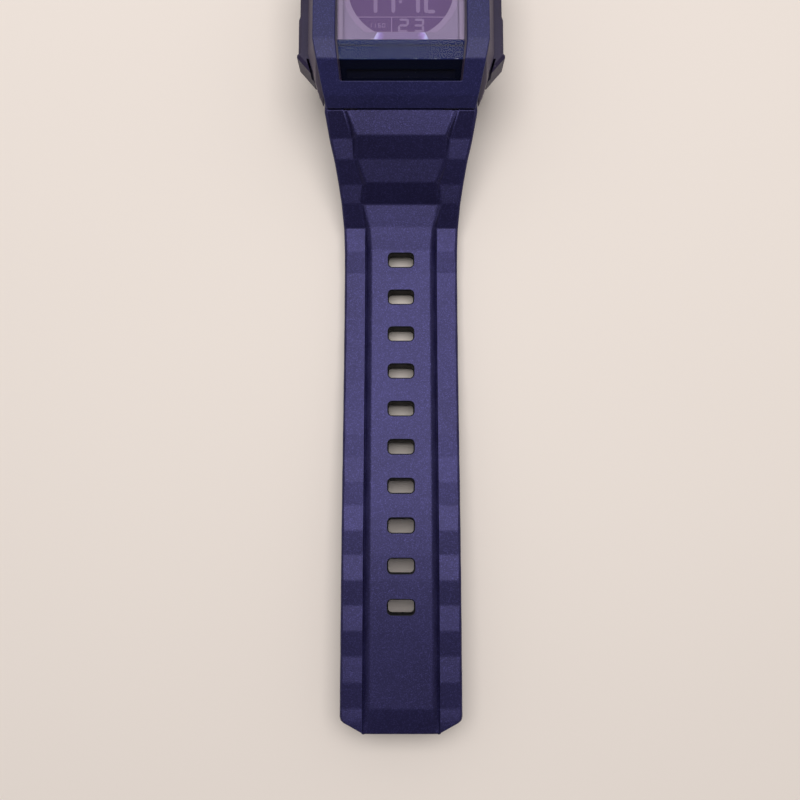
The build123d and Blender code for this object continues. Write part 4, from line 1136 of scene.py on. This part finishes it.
def build_strap(name, sign, rings):
    """Strap from its rings, with a knuckle on the case's side; sign is its way along Y."""
    knuckle_end = knuckle_rings(strap_ring(0, sign * bar_y, bar_z + knuckle, 0), -sign,
                                sign * bar_y, bar_z, knuckle)
    mesh = bmesh.new()
    skin_rings(mesh, knuckle_end + rings)
    strap = finish_piece(mesh, f"{name}_moulding", navy_finish, name)
    shade_facets(strap)
    return strap


# The long strap ends in a narrow face between two cut corners
tip_corner = 2.35 * mm
tip_corner_cut = 0.8 * mm
tip_bevel_drop = 0.9 * mm
tip_squeeze = 0.04
tip_rail_drop = 0.6 * mm
tip_face_half = 7.3 * mm
tip_cut = 0.05 * mm
# Rounding of the tip's end: how far back each ring lies, and how far it is drawn in
tip_rounding = ((0.3 * mm, 0.0), (0.09 * mm, 0.09 * mm), (0.0, 0.3 * mm))
stations = walk_strap(root_slopes + long_slopes)
drops = rail_levels(root_slopes + long_slopes)
rings = [strap_ring(index, -distance, height, drops[index])
         for index, (distance, height) in enumerate(stations[:-1])]
cuts = [crease_cut] * len(rings)
tip_distance, tip_height = stations[-1]
last_distance, last_height = stations[-2]
corner_share = 1 - tip_corner / (tip_distance - last_distance)
corner_height = last_height + (tip_height - last_height) * corner_share
corner_drop = drops[-2] + (drops[-1] - drops[-2]) * corner_share
end_index = len(stations) - 1
rings.append(strap_ring(end_index, -tip_distance + tip_corner, corner_height, corner_drop,
                        tip_bevel_drop * corner_share))
cuts.append(tip_corner_cut)
tip_ring = strap_ring(end_index, -tip_distance, tip_height, tip_rail_drop, tip_bevel_drop,
                      tip_squeeze)
tip_middle_z = tip_height - thickness_tail / 2
for back, inset in tip_rounding:
    shrink_x = 1 - inset / tip_face_half
    shrink_z = 1 - inset / (thickness_tail / 2)
    rings.append([Vector((point[0] * shrink_x, point[1] + back,
                          tip_middle_z + (point[2] - tip_middle_z) * shrink_z))
                  for point in tip_ring])
    cuts.append(tip_cut)
long_strap = build_strap("long_strap", -1, soften_along(rings, cuts))

# The slots' walls come from the mould's steel pins; their near-black colour is painted shade
# for the shadow inside the slots
slot_shade_finish = make_plain("slot_wall_painted_shade", 5200.0, srgb(6, 6, 11), srgb(11, 10, 17),
                         Roughness=0.6, Specular_IOR_Level=0.2)
slot_count = 10
slot_start = 29.2 * mm
slot_pitch = 7.6 * mm
slot_length = 4.95 * mm
slot_width = 2.7 * mm
slot_corner = 0.75 * mm
slot_corner_steps = 6
slot_lip = 0.22 * mm
slot_lip_steps = 4
slot_overrun = 1.2 * mm
for number in range(slot_count):
    run = slot_start + number * slot_pitch
    index = 0
    while run > facet_run(index):
        run -= facet_run(index)
        index += 1
    share = run / facet_run(index)
    (y0, z0), (y1, z1) = stations[index], stations[index + 1]
    center = Vector((0, -(y0 + (y1 - y0) * share), z0 + (z1 - z0) * share))
    along = Vector((0, y0 - y1, z1 - z0)).normalized()
    normal = Vector((1, 0, 0)).cross(-along)
    levels = []
    for step in range(slot_lip_steps + 1):
        sink = slot_lip * step / slot_lip_steps
        grow = slot_lip - sqrt(max(0, slot_lip ** 2 - (slot_lip - sink) ** 2))
        levels.append((-sink, grow))
    top = [(slot_overrun, slot_lip)] + levels
    foot = [(-thickness_tail - depth, grow) for depth, grow in reversed(levels)]
    foot.append((-thickness_tail - slot_overrun, slot_lip))
    slot_rings = []
    for depth, grow in top + foot:
        outline = rounded_box_outline(slot_length + 2 * grow, slot_width + 2 * grow,
                                      slot_corner + grow, slot_corner_steps)
        slot_rings.append([center + Vector((1, 0, 0)) * x - along * y + normal * depth
                           for x, y in outline])
    slot_mesh = bmesh.new()
    skin_rings(slot_mesh, slot_rings)
    cut_away(long_strap, slot_mesh, slot_shade_finish)
cut_lug_notches(long_strap, -1)
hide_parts("long_strap")

# The short strap ends in a knuckle round the buckle's bar, with a slot for the tongue
buckle_y = 84.194 * mm
buckle_z = -4.52 * mm
end_knuckle = thickness_tail / 2
buckle_bore = 0.8 * mm
buckle_bore_half = 12 * mm
tongue_slot_half = 2.5 * mm
tongue_slot_depth = 3.2 * mm
tongue_slot_reach = 4 * mm
stations = walk_strap(root_slopes + short_slopes)
drops = rail_levels(root_slopes + short_slopes)
rings = [strap_ring(index, distance, height, drops[index])
         for index, (distance, height) in enumerate(stations)]
end_rings = knuckle_rings(rings[-1], 1, buckle_y, buckle_z, end_knuckle)[::-1]
short_strap = build_strap("short_strap", 1,
                          soften_along(rings, [crease_cut] * len(rings)) + end_rings)
cut_lug_notches(short_strap, 1)
cut_prism(short_strap, circle_outline(buckle_y, buckle_z, buckle_bore, bore_steps),
          -buckle_bore_half, buckle_bore_half)
cut_prism(short_strap, box_outline(buckle_y - tongue_slot_depth, buckle_y + tongue_slot_reach,
                                   buckle_z - tongue_slot_reach,
                                   buckle_z + tongue_slot_reach),
          -tongue_slot_half, tongue_slot_half)
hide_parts("short_strap")

# Keeper
# A loop of the same resin, moulded in one piece, which slides on the short strap and
# holds the end of the long one.
keeper_round = 0.3 * mm
dress(navy_finish, "strap_keeper")
soften_edges("strap_keeper", keeper_round, segments=3)

# Buckle
# A forged steel frame on a turned steel bar, with a flat tongue that rests on its far
# rail. The frame and the tongue are brushed lengthwise.
buckle_round = 0.14 * mm
dress(steel_finish, "buckle_frame", "buckle_tongue")
dress(screw_finish, "buckle_bar")
for name in ("buckle_frame", "buckle_tongue"):
    soften_edges(name, buckle_round, angle=35, clamp=True)
